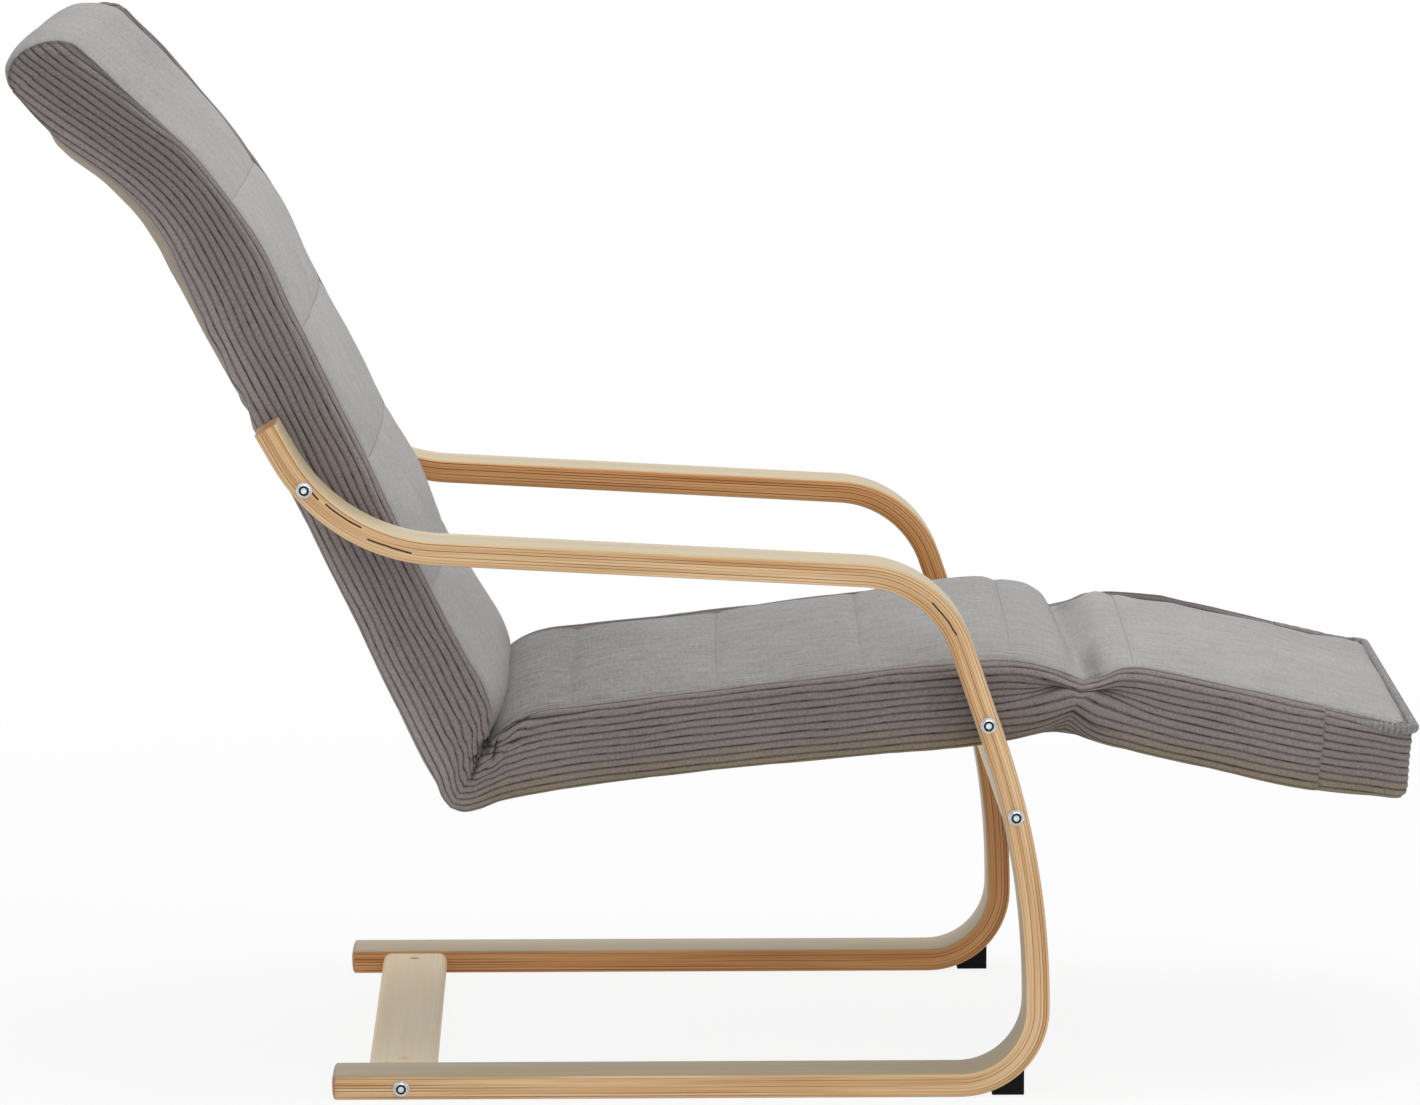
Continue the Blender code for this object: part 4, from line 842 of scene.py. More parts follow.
def swelling():
    """The movement of the coarse cover after the pressure has acted. The sides and the top are each
    scaled so that their largest movement is a few millimetres."""
    run = np.linspace(0.0, RUN_END, SIM_STATIONS)
    grid, order = coarse_cover(run)
    bag = surface("coarse_cover", grid)
    columns = grid.shape[1]
    right_seam, left_seam = SIM_SIDE - 1, SIM_SIDE + SIM_TOP - 2
    held = np.zeros(grid.shape[:2], bool)
    held[[0, -1]] = True
    held[:, [0, 1, right_seam - 1, right_seam, left_seam, left_seam + 1, columns - 2, columns - 1]] = True
    sewn = np.concatenate([channels, [crease_front, pinch_front]])
    held[np.min(np.abs(order[:, None] - sewn), axis=1) < np.diff(order).max() * PIN_REACH] = True
    pins = bag.vertex_groups.new(name="sewn")
    pins.add([int(i) for i in np.flatnonzero(held.ravel())], 1.0, "REPLACE")
    cloth = bag.modifiers.new("padding", "CLOTH")
    cloth.settings.quality = SIM_QUALITY
    cloth.settings.mass = SIM_MASS
    cloth.settings.use_pressure = True
    cloth.settings.uniform_pressure_force = SIM_PRESSURE
    cloth.settings.shrink_min = SIM_SLACK
    cloth.settings.effector_weights.gravity = 0.0
    cloth.settings.vertex_group_mass = "sewn"
    cloth.collision_settings.use_collision = False
    cloth.point_cache.frame_start = 1
    cloth.point_cache.frame_end = SIM_FRAMES
    for frame_number in range(1, SIM_FRAMES + 1):
        scene.frame_set(frame_number)
    blown = bag.evaluated_get(bpy.context.evaluated_depsgraph_get()).data
    moved = np.zeros(grid.size, np.float32)
    blown.vertices.foreach_get("co", moved)
    move = moved.reshape(grid.shape) - grid
    scene.frame_set(1)
    bpy.data.meshes.remove(bag.data)
    size = np.linalg.norm(move, axis=-1)
    on_top = np.zeros(columns, bool)
    on_top[right_seam:left_seam + 1] = True
    scale = np.where(on_top, TOP_LIMIT / size[:, on_top].max(), SIDE_LIMIT / size[:, ~on_top].max())
    print("pressure moved the cover by up to", round(float(size.max()) * 1000, 1), "mm before scaling")
    return run, move * scale[None, :, None]


SIM_COLUMNS = 2 * SIM_SIDE + SIM_TOP - 2
sim_run, sim_move = np.array([0.0, RUN_END]), np.zeros((2, SIM_COLUMNS, 3))
sim_run, sim_move = swelling()


def pushed(run, column):
    """The scaled movement at each station and fractional column of the coarse grid, by straight
    interpolation first across the columns and then along the stations."""
    low = np.clip(np.floor(column).astype(int), 0, SIM_COLUMNS - 2)
    part = (column - low)[None, :, None]
    across = sim_move[:, low] * (1 - part) + sim_move[:, low + 1] * part
    spot = np.interp(run, sim_run, np.arange(len(sim_run)))
    start = np.clip(np.floor(spot).astype(int), 0, len(sim_run) - 2)
    part = (spot - start)[:, None, None]
    return across[start] * (1 - part) + across[start + 1] * part


def side_push(run, share, lean):
    """The movement of a side panel: its lower edge is the first column of the coarse grid on the right
    and the last one on the left."""
    column = share * (SIM_SIDE - 1)
    return pushed(run, SIM_COLUMNS - 1 - column if lean else column)


print("largest push kept", round(float(np.abs(sim_move).max()) * 1000, 1), "mm")

# %% [markdown]
# ## Folds at the crease
# Where back and seat meet, the side panel has too much cloth. It is tucked into a pit at the end of the
# cleft, a dart that runs down to the corner, and a flap under the seat's top edge. Each fold is a line
# drawn in the side view that presses the cloth in.

# %% Tucks
TUCKS = (([(-0.2345, 0.3450), (-0.2385, 0.3365)], 0.032, 0.0058),
         ([(-0.2365, 0.3400), (-0.2435, 0.3256), (-0.2499, 0.3082)], 0.0150, 0.0024),
         ([(-0.2360, 0.3405), (-0.2475, 0.3324), (-0.2432, 0.3212)], 0.0140, 0.0021),
         ([(-0.2225, 0.3480), (-0.2277, 0.3290)], 0.0140, 0.0022),
         ([(-0.2290, 0.3470), (-0.2055, 0.3635), (-0.1937, 0.3695), (-0.1600, 0.3745), (-0.1200, 0.3790)],
          0.0140, 0.0023),
         ([(-0.2200, 0.3450), (-0.2000, 0.3540), (-0.1650, 0.3600)], 0.0040, 0.0018))


def tucked(points):
    """How deep the tucks press each point in: the depth times exp(-(distance / width)^2) for the nearest
    part of each tuck's line, fading out towards the end of the line."""
    total = np.zeros(points.shape[:-1])
    for line, depth, width in TUCKS:
        line = np.asarray(line)
        start, step = line[:-1], np.diff(line, axis=0)
        from_start = points[..., None, :] - start
        along = np.clip((from_start * step).sum(-1) / (step ** 2).sum(-1), 0, 1)
        gaps = np.linalg.norm(from_start - along[..., None] * step, axis=-1)
        nearest = gaps.argmin(-1)[..., None]
        gap = np.take_along_axis(gaps, nearest, -1)[..., 0]
        passed = (nearest + np.take_along_axis(along, nearest, -1))[..., 0] / len(step)
        total = np.maximum(total, depth * (1 - passed ** 3) * hump(gap, width))
    return total


print(len(TUCKS), "tucks at the crease")

# %% [markdown]
# ## Ribs on the side panels
# A rib of corduroy is a round cushion of pile with a narrow valley on either side. The profile
# |sin|^0.4 has that look: broad on top, steep at the foot. The ribs are pushed out along the normals of
# the finished strip, so they turn with every roll and fold.

# %% Pile and colour of the side panels
SEAM_BEFORE_END = 0.0775
SEAM_RUN = RUN_END - SEAM_BEFORE_END
RIB_SHAPE = 0.40
WANDER, BUNCHED = (0.12, 14, 3, 31), (0.6, 60, 6, 41)
BUNCHED_REACH, BUNCHED_SHARE = 0.05, (0.2, 0.6)
HEAD_TWIST, TWIST_REACH = 0.20, 0.22
HEAD_SHADE, HEAD_SHADE_RUN = 0.16, (0.1, 0.35)
RIM_SHADE, RIM_INSET, RIM_RUN, LEFT_RIM = 0.5, (0.002, 0.008), (0.03, 0.15), 0.4
FAR_RIM_SHADE, FAR_RIM_SHARE = 0.36, (0.78, 0.90)
FAR_RIM_RISE, FAR_RIM_FALL = (0.03, 0.07), 0.10
SEAT_TINT = np.array([1.05, 0.95, 0.60])
BACK_TINT = np.array([1.55, 1.54, 1.50])
TINT_CHANGE, TINT_RIBS = (-0.03, 0.05), (0.105, 0.405)
PINCH_SPREAD, PINCH_PLAIN, PINCH_PAINTED_SHADE = 0.05, 0.7, 0.25


def rib_profile(phase, power):
    """Height of the pile across the ribs: |sin(pi phase)| to a power, 0 in a valley and 1 on top."""
    return np.abs(np.sin(pi * phase)) ** power


def side_pile(rib, run, share, lean):
    """The pile of a side panel: its ribs wander, bunch up at the crease and twist at the head."""
    at_crease = hump(run - crease_run, BUNCHED_REACH)[:, None] * smooth(share, *BUNCHED_SHARE)
    wander = ripple(run, share, WANDER, lean) + at_crease * ripple(run, share, BUNCHED, lean)
    twist = HEAD_TWIST * np.clip((TWIST_REACH - run) / (TWIST_REACH + NOSE_REACH), 0, 1)[:, None] ** 2
    return rib_profile((rib + twist) * RIBS + wander, RIB_SHAPE)


def faded(rib, run):
    """What the colour is multiplied by. The lowest ribs of the seat and the footrest are browner, and the
    rearmost ribs of the back are paler. Both fade out up to the seventh rib. At the pinch the lowest ribs
    are darker, painted shade in the recess under the V, and towards the head the whole strip is darker as
    painted shade."""
    start, end = TINT_RIBS
    low = np.clip((end - rib) / (end - start), 0, 1)[..., None]
    on_seat = smooth(run - crease_run, *TINT_CHANGE)[:, None, None]
    at_pinch = hump(run - pinch_run, PINCH_SPREAD)[:, None, None]
    shade = 1 - HEAD_SHADE * (1 - smooth(run, *HEAD_SHADE_RUN))[:, None, None]
    tint = on_seat * (SEAT_TINT - 1) * (1 - PINCH_PLAIN * at_pinch) + (1 - on_seat) * (BACK_TINT - 1)
    return shade + low * (tint - PINCH_PAINTED_SHADE * at_pinch)


def rim_light(run, share, inset, lean):
    """What is left of the light where a strip turns in: at the rim of the head, and along the left rim of
    the footrest, where the shade fades out before the seam."""
    rim = smooth(inset, *RIM_INSET) * (1 - smooth(run, *RIM_RUN))[:, None]
    on_foot = smooth(run - pinch_run, *FAR_RIM_RISE) * smooth(SEAM_RUN - run, 0, FAR_RIM_FALL)
    turned_in = smooth(share, *FAR_RIM_SHARE) * on_foot[:, None]
    return 1 - RIM_SHADE * (LEFT_RIM if lean else 1) * rim - FAR_RIM_SHADE * lean * turned_in


print("ribs", round(RIB_HEIGHT * 1000, 1), "mm high")

# %% Side panels with ribs
SIDE_ROW = 0.0042
SIDE_COLUMNS = 129
NOSE_RINGS = 22
CREASE_ROWS, PINCH_ROWS = (0.045, 0.0022), (0.05, 0.0024)
SEAM_STEP, SEAM_WIDTH, FAR_SEAM = 0.0030, 0.0021, 0.8
SEAM_SLANT, SLANT_REACH = 0.014, 0.15
RUFFLE, RUFFLE_IN = (0.0032, 42, 7, 51), 0.7
RUFFLE_RUN, RUFFLE_SHARE = ((0.26, 0.32), (0.42, 0.48)), (0.12, 0.26)
RIDGE_HEIGHT, RIDGE_SHARE, RIDGE_WIDTH = 0.0016, 0.735, 0.012
RIDGE_RUN = ((0.02, 0.10), (0.45, crease_run - 0.1))
UNEVEN = (0.0008, 9, 1.2, 11)
TUCK_SHADE = 0.60


def slanted(run, share, calm):
    """A shift along the footrest that stands the front seam upright: largest at the seam and at the lower
    edge, and gone at the calm end."""
    part = np.clip((run - calm) / (SEAM_RUN - calm), 0, 1)
    return along_foot * (SEAM_SLANT * part[:, None] * (1 - share))[..., None]


def seam_step(run, lean):
    """How far a strip dives at the front seam: a step times exp(-distance / width), less on the left."""
    return ((1 - FAR_SEAM * lean) * SEAM_STEP * np.exp(-np.abs(run - SEAM_RUN) / SEAM_WIDTH))[:, None]


def side_panel(name, lean):
    """A side panel on the right (lean 0) or left (lean 1): the nose and the strip in one grid, with a
    ruffled lower edge, tucks at the crease and a ridge along the back, then swollen, then ribbed."""
    share = np.linspace(0, 1, SIDE_COLUMNS)
    run = crowded(SEAM_RUN, SIDE_ROW, [(crease_run, *CREASE_ROWS), (pinch_run, *PINCH_ROWS)])
    turns = np.linspace(pi / 2, 0, NOSE_RINGS)[:-1]
    flat_nose, inset_nose, rib_nose = nose_strip(turns, share, lean)
    flat, inset = side_strip(run, share, lean)
    loose = within(run, *RUFFLE_RUN)[:, None] * (1 - smooth(share, *RUFFLE_SHARE))
    ruffle = loose * ripple(run, share, RUFFLE, lean)
    flat = flat + slanted(run, share, SEAM_RUN - SLANT_REACH)
    flat = flat - stations(run)[2][:, None] * ruffle[..., None]
    fold = tucked(flat)
    ridge = RIDGE_HEIGHT * hump(share - RIDGE_SHARE, RIDGE_WIDTH) * within(run, *RIDGE_RUN)[:, None]
    inset = inset + fold + RUFFLE_IN * ruffle + seam_step(run, lean) - ridge
    flat, inset = np.concatenate([flat_nose, flat]), np.concatenate([inset_nose, inset])
    rib = np.concatenate([rib_nose, np.broadcast_to(share, (len(run), SIDE_COLUMNS))])
    every = np.concatenate([-NOSE_REACH * np.sin(turns), run])
    points = upright(flat, (CUSHION_HALF - RIB_HEIGHT - inset) * (2 * lean - 1))
    points = points + side_push(np.clip(every, 0, None), share, lean)
    pile = side_pile(rib, every, share, lean)
    raised = pile * RIB_HEIGHT + ripple(every, share, UNEVEN, lean)
    points = points + outward(points) * (raised * (1 - 2 * lean))[..., None]
    light = 1 - TUCK_SHADE * np.concatenate([0 * rib_nose, fold / fold.max()])
    light = light * rim_light(every, share, inset, lean)
    return surface(name, points, flip=lean > 0, pile=pile, tint=faded(rib, every) * light[..., None])


cover_right = side_panel("cover_side_right", 0)
cover_left = side_panel("cover_side_left", 1)

# %% [markdown]
# ## The strip round the front of the footrest
# A separate piece of corduroy goes round the end of the footrest, from a seam on one side to a seam on
# the other. Its path is a straight run, a small round corner, the front, and the same again mirrored.
# At each corner the top roll is gathered into small pleats.

# %% Front strip
FRONT_ROW = 0.0032
FRONT_POINTS = 90
CORNER_POINTS = 16
SEAM_ROWS = (0.004, 0.002)
PLEAT, PLEAT_DEPTH, PLEAT_SHARE = 0.0050, 0.0030, (0.62, 0.80)
PLEAT_TURN, PLEAT_INSIDE = 0.5, 0.01
OVERHANG, OVERHANG_SHARE = 0.0020, (0.70, 0.80)
UNDERHANG, UNDERHANG_SHARE = 0.007, (0.1, 0.7)
FRONT_SQUEEZE, SQUEEZE_SHARE = 0.35, (0.7, 0.9)
ASKEW_FRONT = 0.008
FRONT_PHASE, FRONT_WANDER = 0.45, (0.12, 14, 3, 71)


def front_path():
    """A U in plan round the footrest: the station each row belongs to, how far it lies ahead of the last
    station, its Y, the angle it faces (0 to the right, a quarter turn to the front), and its lean."""
    edge = CUSHION_HALF - FRONT_CORNER
    beside = crowded(RUN_END - SEAM_RUN, FRONT_ROW, [(0, *SEAM_ROWS)]) + SEAM_RUN
    turn = np.linspace(0, pi / 2, CORNER_POINTS)[1:]
    middle = np.linspace(-edge, edge, FRONT_POINTS)[1:-1]
    still, front = 0 * beside, 0 * middle
    run = np.concatenate([beside, 0 * turn + RUN_END])
    ahead = np.concatenate([still, FRONT_CORNER * np.sin(turn)])
    aside = np.concatenate([still + CUSHION_HALF, edge + FRONT_CORNER * np.cos(turn)])
    facing = np.concatenate([still, turn])
    run = np.concatenate([run, front + RUN_END, run[::-1]])
    ahead = np.concatenate([ahead, front + FRONT_CORNER, ahead[::-1]])
    facing = np.concatenate([facing, front + pi / 2, pi - facing[::-1]])
    sideways = np.concatenate([-aside, middle, aside[::-1]])
    lean = (sideways + CUSHION_HALF) / (2 * CUSHION_HALF)
    ahead = ahead + ASKEW_FRONT * lean * smooth(run, SEAM_RUN, RUN_END)
    return run, ahead, sideways, facing, lean


def front_strip(name):
    """The side's cross-section carried round a U in plan. Rows beside the footrest take their own
    station. Rows round the corners and along the front take the last station, moved along the U."""
    share = np.linspace(0, 1, SIDE_COLUMNS)
    run, ahead, sideways, facing, lean = front_path()
    right, inset = side_strip(run, share, 0)
    left, _ = side_strip(run, share, 1)
    flat = right * (1 - lean)[:, None, None] + left * lean[:, None, None] + slanted(run, share, RUN_END)
    length = measured(np.stack([run + ahead, sideways], -1))
    gather = hump(facing - pi / 4, PLEAT_TURN) + hump(facing - 3 * pi / 4, PLEAT_TURN)
    gather = gather * (np.abs(sideways) > CUSHION_HALF - FRONT_CORNER - PLEAT_INSIDE)
    pleats = (np.sin(2 * pi * length / PLEAT) * gather)[:, None] * smooth(share, *PLEAT_SHARE)
    toward = np.sin(facing)[:, None]
    hang = OVERHANG * smooth(share, *OVERHANG_SHARE) + UNDERHANG * (1 - smooth(share, *UNDERHANG_SHARE))
    inset = inset + RIB_HEIGHT + seam_step(run, lean)
    inset = inset * (1 - FRONT_SQUEEZE * smooth(share, *SQUEEZE_SHARE) * toward ** 2)
    flat = flat + along_foot * (ahead[:, None] - toward * inset + hang * toward ** 2)[..., None]
    points = upright(flat, sideways[:, None] + np.cos(facing)[:, None] * inset)
    on_right = (sideways < 0)[:, None, None]
    points = points + np.where(on_right, side_push(run, share, 0), side_push(run, share, 1))
    wander = ripple(length, share, FRONT_WANDER)
    rib = np.broadcast_to(share, inset.shape)
    pile = rib_profile(rib * RIBS + FRONT_PHASE + wander, RIB_SHAPE)
    points = points + outward(points) * (pile * RIB_HEIGHT + PLEAT_DEPTH * pleats)[..., None]
    return surface(name, points, pile=pile, tint=faded(rib, run))


cover_front = front_strip("cover_front_strip")

# %% [markdown]
# ## The rolled edge of the footrest
# Where the top panel meets the front strip the cloth turns over into a small roll that hangs over the
# front. The ribs of the top panel go across it, so it looks gathered, most of all at the right corner.
# Along both sides the roll lies on the rounded top of the strip, thins out and sinks into it.

# %% Rolled edge
ROLL_RADIUS, ROLL_SIDES = 0.0038, 14
ROLL_ROW, ROLL_START = 0.0013, 0.01
ROLL_OVERHANG, ROLL_DROP = 0.0028, 0.35
ROLL_BED, ROLL_SINK = radians(42), 0.003
ROLL_RIB, ROLL_RIB_HEIGHT, ROLL_RIB_SHAPE, FAR_ROLL_RIBS = 0.0058, 0.0015, 0.7, 0.3
GATHER, GATHER_REACH, GATHER_BEFORE, GATHER_TIGHT = 1.3, 0.024, 0.014, 0.3
ROLL_PRESSED_AND_SHADE, GATHER_PAINTED_SHADE = 0.6, 0.4


def rolled_edge(name):
    """A tube along the top of the front strip's U. A section is the roll's radius times (cos, sin), with
    cos outward and sin upward. The tube hangs over along the front, and lies on the strip's rounded top
    at the bed's angle along the sides. Its radius grows from nothing at the side seams, where it sinks
    into the strip, to its full size at the corners."""
    path = np.stack(front_path(), -1)
    length = measured(path[:, :3])
    fine = np.linspace(0, length[-1], int(length[-1] / ROLL_ROW))
    run, ahead, sideways, facing, lean = (np.interp(fine, length, column) for column in path.T)
    low, high = stations(run, 0)[1], stations(run, 1)[1]
    rise = stations(run)[2]
    grown = smooth(np.minimum(fine, fine[-1] - fine), ROLL_START, RUN_END - SEAM_RUN)
    pile = rib_profile(fine / ROLL_RIB, ROLL_RIB_SHAPE)
    gather = hump(fine - np.interp(pi / 4, facing, fine) + GATHER_BEFORE, GATHER_REACH)
    ribs = ROLL_RIB_HEIGHT * pile * (1 + GATHER * gather) * (1 - (1 - FAR_ROLL_RIBS) * lean)
    radius = (grown * (ROLL_RADIUS * (1 - GATHER_TIGHT * gather) + ribs))[:, None]
    toward = np.sin(facing)
    on_side = (1 - toward) * TOP_ROLL
    sink = ROLL_SINK * (1 - grown)
    outside = toward * (ROLL_OVERHANG - ROLL_RADIUS) - on_side * (1 - cos(ROLL_BED)) - sink
    level = -toward * ROLL_DROP * ROLL_RADIUS - on_side * (1 - sin(ROLL_BED)) - sink
    angle = np.linspace(0, 2 * pi, ROLL_SIDES + 1)
    reach = outside[:, None] + radius * np.cos(angle)
    up = level[:, None] + radius * np.sin(angle)
    middle = low * (1 - lean)[:, None] + high * lean[:, None] + along_foot * ahead[:, None]
    flat = middle[:, None] + along_foot * (toward[:, None] * reach)[..., None]
    flat = flat + rise[:, None] * up[..., None]
    points = upright(flat, sideways[:, None] - np.cos(facing)[:, None] * reach)
    all_round = 0 * reach
    cloth = np.stack(np.broadcast_arrays(angle * ROLL_RADIUS, fine[:, None], all_round), -1)
    # Painted shade: the roll carries an even share of painted shade and crushed pile, and more painted shade
    # in the valleys of the gathers at the right corner.
    handled = (ROLL_PRESSED_AND_SHADE + GATHER_PAINTED_SHADE * gather * (1 - pile))[:, None] + all_round
    return surface(name, points, pile=pile[:, None] + all_round, cloth=cloth, handled=handled)


cover_roll = rolled_edge("cover_front_roll")

# %% [markdown]
# ## Building the top panel
# The panel's grid has four points to a rib across and rows that crowd together at the stitch lines.

# %% Top panel with ribs and channels
POINTS_PER_RIB = 4
RIB_PITCH = 0.0074
TOP_RIB_HEIGHT, TOP_RIB_SHAPE = 0.0008, 0.6
TOP_WANDER, TOP_UNEVEN = (0.08, 6, 4, 5), (0.0012, 7, 6, 17)
FLATTENED, FLATTENED_REACH = 0.7, 0.004
ASKEW_EASE = 0.08
SEAT_SKEW, FOOT_SKEW = 0.009, 0.015
SEAT_SKEW_PLACE = ((crease_front, crease_front + 0.08), (pinch_front - 0.08, pinch_front))
FOOT_SKEW_PLACE = ((pinch_front, pinch_front + 0.04), (pinch_front + 0.06, FRONT_END - 0.05))
PUSH_START = (-0.01, 0.03)
# Painted shade along the top panel, with stronger streaks of crushed pile where it is higher: the colour is
# darkest just ahead of the crease, where the back shades the seat.
PRESSED_AND_SHADE = ((-0.16, 0.36), (0.05, 0.36), (0.15, 0.15), (0.30, 0.0), (crease_front - 0.02, 0.08),
           (crease_front, 0.86), (crease_front + 0.10, 0.76), (crease_front + 0.20, 0.48),
           (crease_front + 0.35, 0.40), (pinch_front - 0.12, 0.25), (pinch_front, 0.12),
           (pinch_front + 0.05, 0.0), (FRONT_END, 0.0))
handled_place, handled_share = np.array(PRESSED_AND_SHADE).T
# Painted shade in the hollow just past the pinch, on the footrest side, strongest near the right and left
# edges.
HOLLOW_AHEAD, HOLLOW_REACH = 0.012, 0.012
HOLLOW_RIGHT, HOLLOW_RIGHT_SPAN = 0.85, (-0.20, -0.04)
HOLLOW_LEFT, HOLLOW_LEFT_SPAN = 0.6, (0.10, 0.19)


def top_panel():
    """Each row is the panel's line lifted along its own normal by the panel's height, the ribs and the
    swelling. On the seat and the footrest the left end of a row is skewed forward."""
    ribs = int(2 * PANEL_HALF / RIB_PITCH)
    part = np.linspace(-1, 1, ribs * POINTS_PER_RIB + 1)
    rows = panel_rows()
    right, order = panel_path(rows, 0)
    left, _ = panel_path(rows, 1)
    left = left + along_foot * (ASKEW_FRONT * smooth(order, FRONT_END - ASKEW_EASE, FRONT_END))[:, None]
    ahead = unit(np.gradient((right + left) / 2, axis=0))
    across = spread_across(order, part)
    gap = np.min(np.abs(order[:, None] - channels), axis=1)[:, None]
    wander = ripple(order, across, TOP_WANDER)
    pile = rib_profile(part / 2 * ribs + wander, TOP_RIB_SHAPE)
    flattened = 1 - FLATTENED * hump(gap, FLATTENED_REACH)
    lift = panel_height(order, part) + TOP_RIB_HEIGHT * pile * flattened
    lift = lift + ripple(order, across, TOP_UNEVEN)
    skew = SEAT_SKEW * within(order, *SEAT_SKEW_PLACE) + FOOT_SKEW * within(order, *FOOT_SKEW_PLACE)
    skew = skew[:, None] * (part + 1) / 2
    flat = panel_base(right, left, part) + ahead[:, None] * skew[..., None]
    points = upright(flat + left_of(ahead)[:, None] * lift[..., None], across)
    column = SIM_SIDE - 1 + (part + 1) / 2 * (SIM_TOP - 1)
    push = pushed(run_at(np.clip(order, 0, None)), column)
    points = points + push * smooth(order, *PUSH_START)[:, None, None]
    cloth = np.stack(np.broadcast_arrays(order[:, None], across, 0 * lift), -1)
    painted_hollow_shade = HOLLOW_RIGHT * (1 - smooth(across, *HOLLOW_RIGHT_SPAN))
    painted_hollow_shade = painted_hollow_shade + HOLLOW_LEFT * smooth(across, *HOLLOW_LEFT_SPAN)
    painted_hollow_shade = painted_hollow_shade * hump(order - pinch_front - HOLLOW_AHEAD, HOLLOW_REACH)[:, None]
    handled = np.maximum(painted_hollow_shade, np.interp(order, handled_place, handled_share)[:, None])
    made = surface("cover_top", points, pile=pile, cloth=cloth, handled=handled)
    return made, points, order, across


cover_top, panel_points, panel_order, panel_across = top_panel()

# %% [markdown]
# ## Stitches
# Each channel is a row of lock stitches. A thin thread runs across the panel and dives into the cloth
# at the end of every stitch, so one wavy tube looks like many short stitches.

# %% Threads along the channels
STITCH = 0.0050
THREAD_RADIUS = 0.00045
THREAD_SIDES = 6
POINTS_PER_STITCH = 8
THREAD_LIFT, THREAD_DIVE = 0.8, 3


def threads(name, places):
    """A tube across the panel at every place, with pointed ends. Its middle follows the nearest row of
    the panel, raised by most of a radius and lowered by |cos|^3 towards the ends of the stitches."""
    count = int(2 * PANEL_HALF / STITCH)
    end = PANEL_HALF - 2 * STITCH
    across = np.linspace(-end, end, count * POINTS_PER_STITCH + 1)
    dive = np.abs(np.cos(pi * (across + PANEL_HALF) / STITCH)) ** 3 * THREAD_DIVE * THREAD_RADIUS
    thin = np.where(np.arange(len(across)) % (len(across) - 1) == 0, 0, THREAD_RADIUS)[:, None, None]
    angle = np.linspace(0, 2 * pi, THREAD_SIDES + 1)[:, None]
    tubes = []
    for place in places:
        row = int(np.argmin(np.abs(panel_order - place)))
        ahead = unit((panel_points[row + 1] - panel_points[row - 1]).mean(axis=0))
        up = unit(np.cross(ahead, np.array([0.0, 1.0, 0.0])))
        line = read_off(across, panel_across[row], panel_points[row])
        line = line + up * (THREAD_RADIUS * THREAD_LIFT - dive)[:, None]
        tubes.append(line[:, None] + thin * (np.cos(angle) * ahead + np.sin(angle) * up))
    return surface(name, np.stack(tubes))


thread_chair = threads("channel_threads_chair", np.concatenate([back_channels, seat_channels]))
thread_foot = threads("channel_thread_footrest", foot_channels)

# %% [markdown]
# ## Linings
# Behind the back and under the seat the chair has plain beige cloth, sewn inside the lower edge of the
# side panels. Behind the back it hangs a little slack between the head and the arms.

# %% Lining cloth
LINING_TUCK = 1.2
LINING_HALF = CUSHION_HALF - UNDER_ROLL * LINING_TUCK
LINING_INSIDE = 0.0035
LINING_ROWS, LINING_COLUMNS = 190, 90
LINING_TOP, LINING_END = BEHIND_HEAD - 0.006, RUN_END + 0.001
SLACK_POWER = 24
WRINKLES, UNDER_SHIFT = ((0.0022, 5, 9, 91), (0.0010, 14, 22, 92)), 4
WRINKLE_POWER, WRINKLE_FADE = 8, ((0, 0.04), (0.96, 1))
BACK_SAG = ((0.045, 0.005), (0.068, 0.0140), (0.090, 0.0160), (0.125, 0.0150), (0.165, 0.0165),
            (0.20, 0.0185), (0.23, 0.0175), (0.26, 0.0150), (0.29, 0.0130), (0.35, 0.0120), (0.44, 0.0060),
            (0.55, 0.0))
sag_place, sag_depth = np.array(BACK_SAG).T
UNDER_SAG = 0.004


def lining(name, first, last, sag, shift=0):
    """A sheet along the rear line from one station to another. A sag of 1 - y^24 across lifts it off the
    line, and its shallow wrinkles fade out at the seams."""
    run = np.linspace(first, last, LINING_ROWS)
    across = np.linspace(-LINING_HALF, LINING_HALF, LINING_COLUMNS)
    rear, _, rise = stations(run)
    along = (run - first) / (last - first)
    width = np.abs(across) / LINING_HALF
    slack = sag(run, along)[:, None] * (1 - width ** SLACK_POWER)
    wrinkle = sum(ripple(run, across, kind, shift) for kind in WRINKLES)
    fade = (1 - width ** WRINKLE_POWER) * within(along, *WRINKLE_FADE)[:, None]
    out = slack + wrinkle * fade - LINING_INSIDE
    points = upright(rear[:, None] - rise[:, None] * out[..., None], across)
    thread = np.stack(np.broadcast_arrays(run[:, None], across, 0 * out), -1)
    return surface(name, points, flip=True, thread=thread)


def back_sag(run, along):
    """The sag behind the back, by distance along the rear line from the head."""
    return np.interp(np.interp(run, run_table, measured(rear_points)), sag_place, sag_depth)


def under_sag(run, along):
    """The sag under the seat: sin^2 from end to end."""
    return UNDER_SAG * np.sin(pi * along) ** 2


lining_back = lining("lining_back", LINING_TOP, crease_run, back_sag)
lining_under = lining("lining_under", crease_run, LINING_END, under_sag, UNDER_SHIFT)

# %% [markdown]
# ## The bent side frames
# Each side frame is a stack of thin birch veneers glued in a bent mould and cut to width. The cut edges
# show the layers, and the layers follow the bend. So the board is a rounded rectangle carried along its
# line, and every point remembers how far along, across and through the board it lies.

# %% Laminated boards
BOARD_ROW = 0.006
CAP_RINGS = 5
EDGE_POINTS = 5


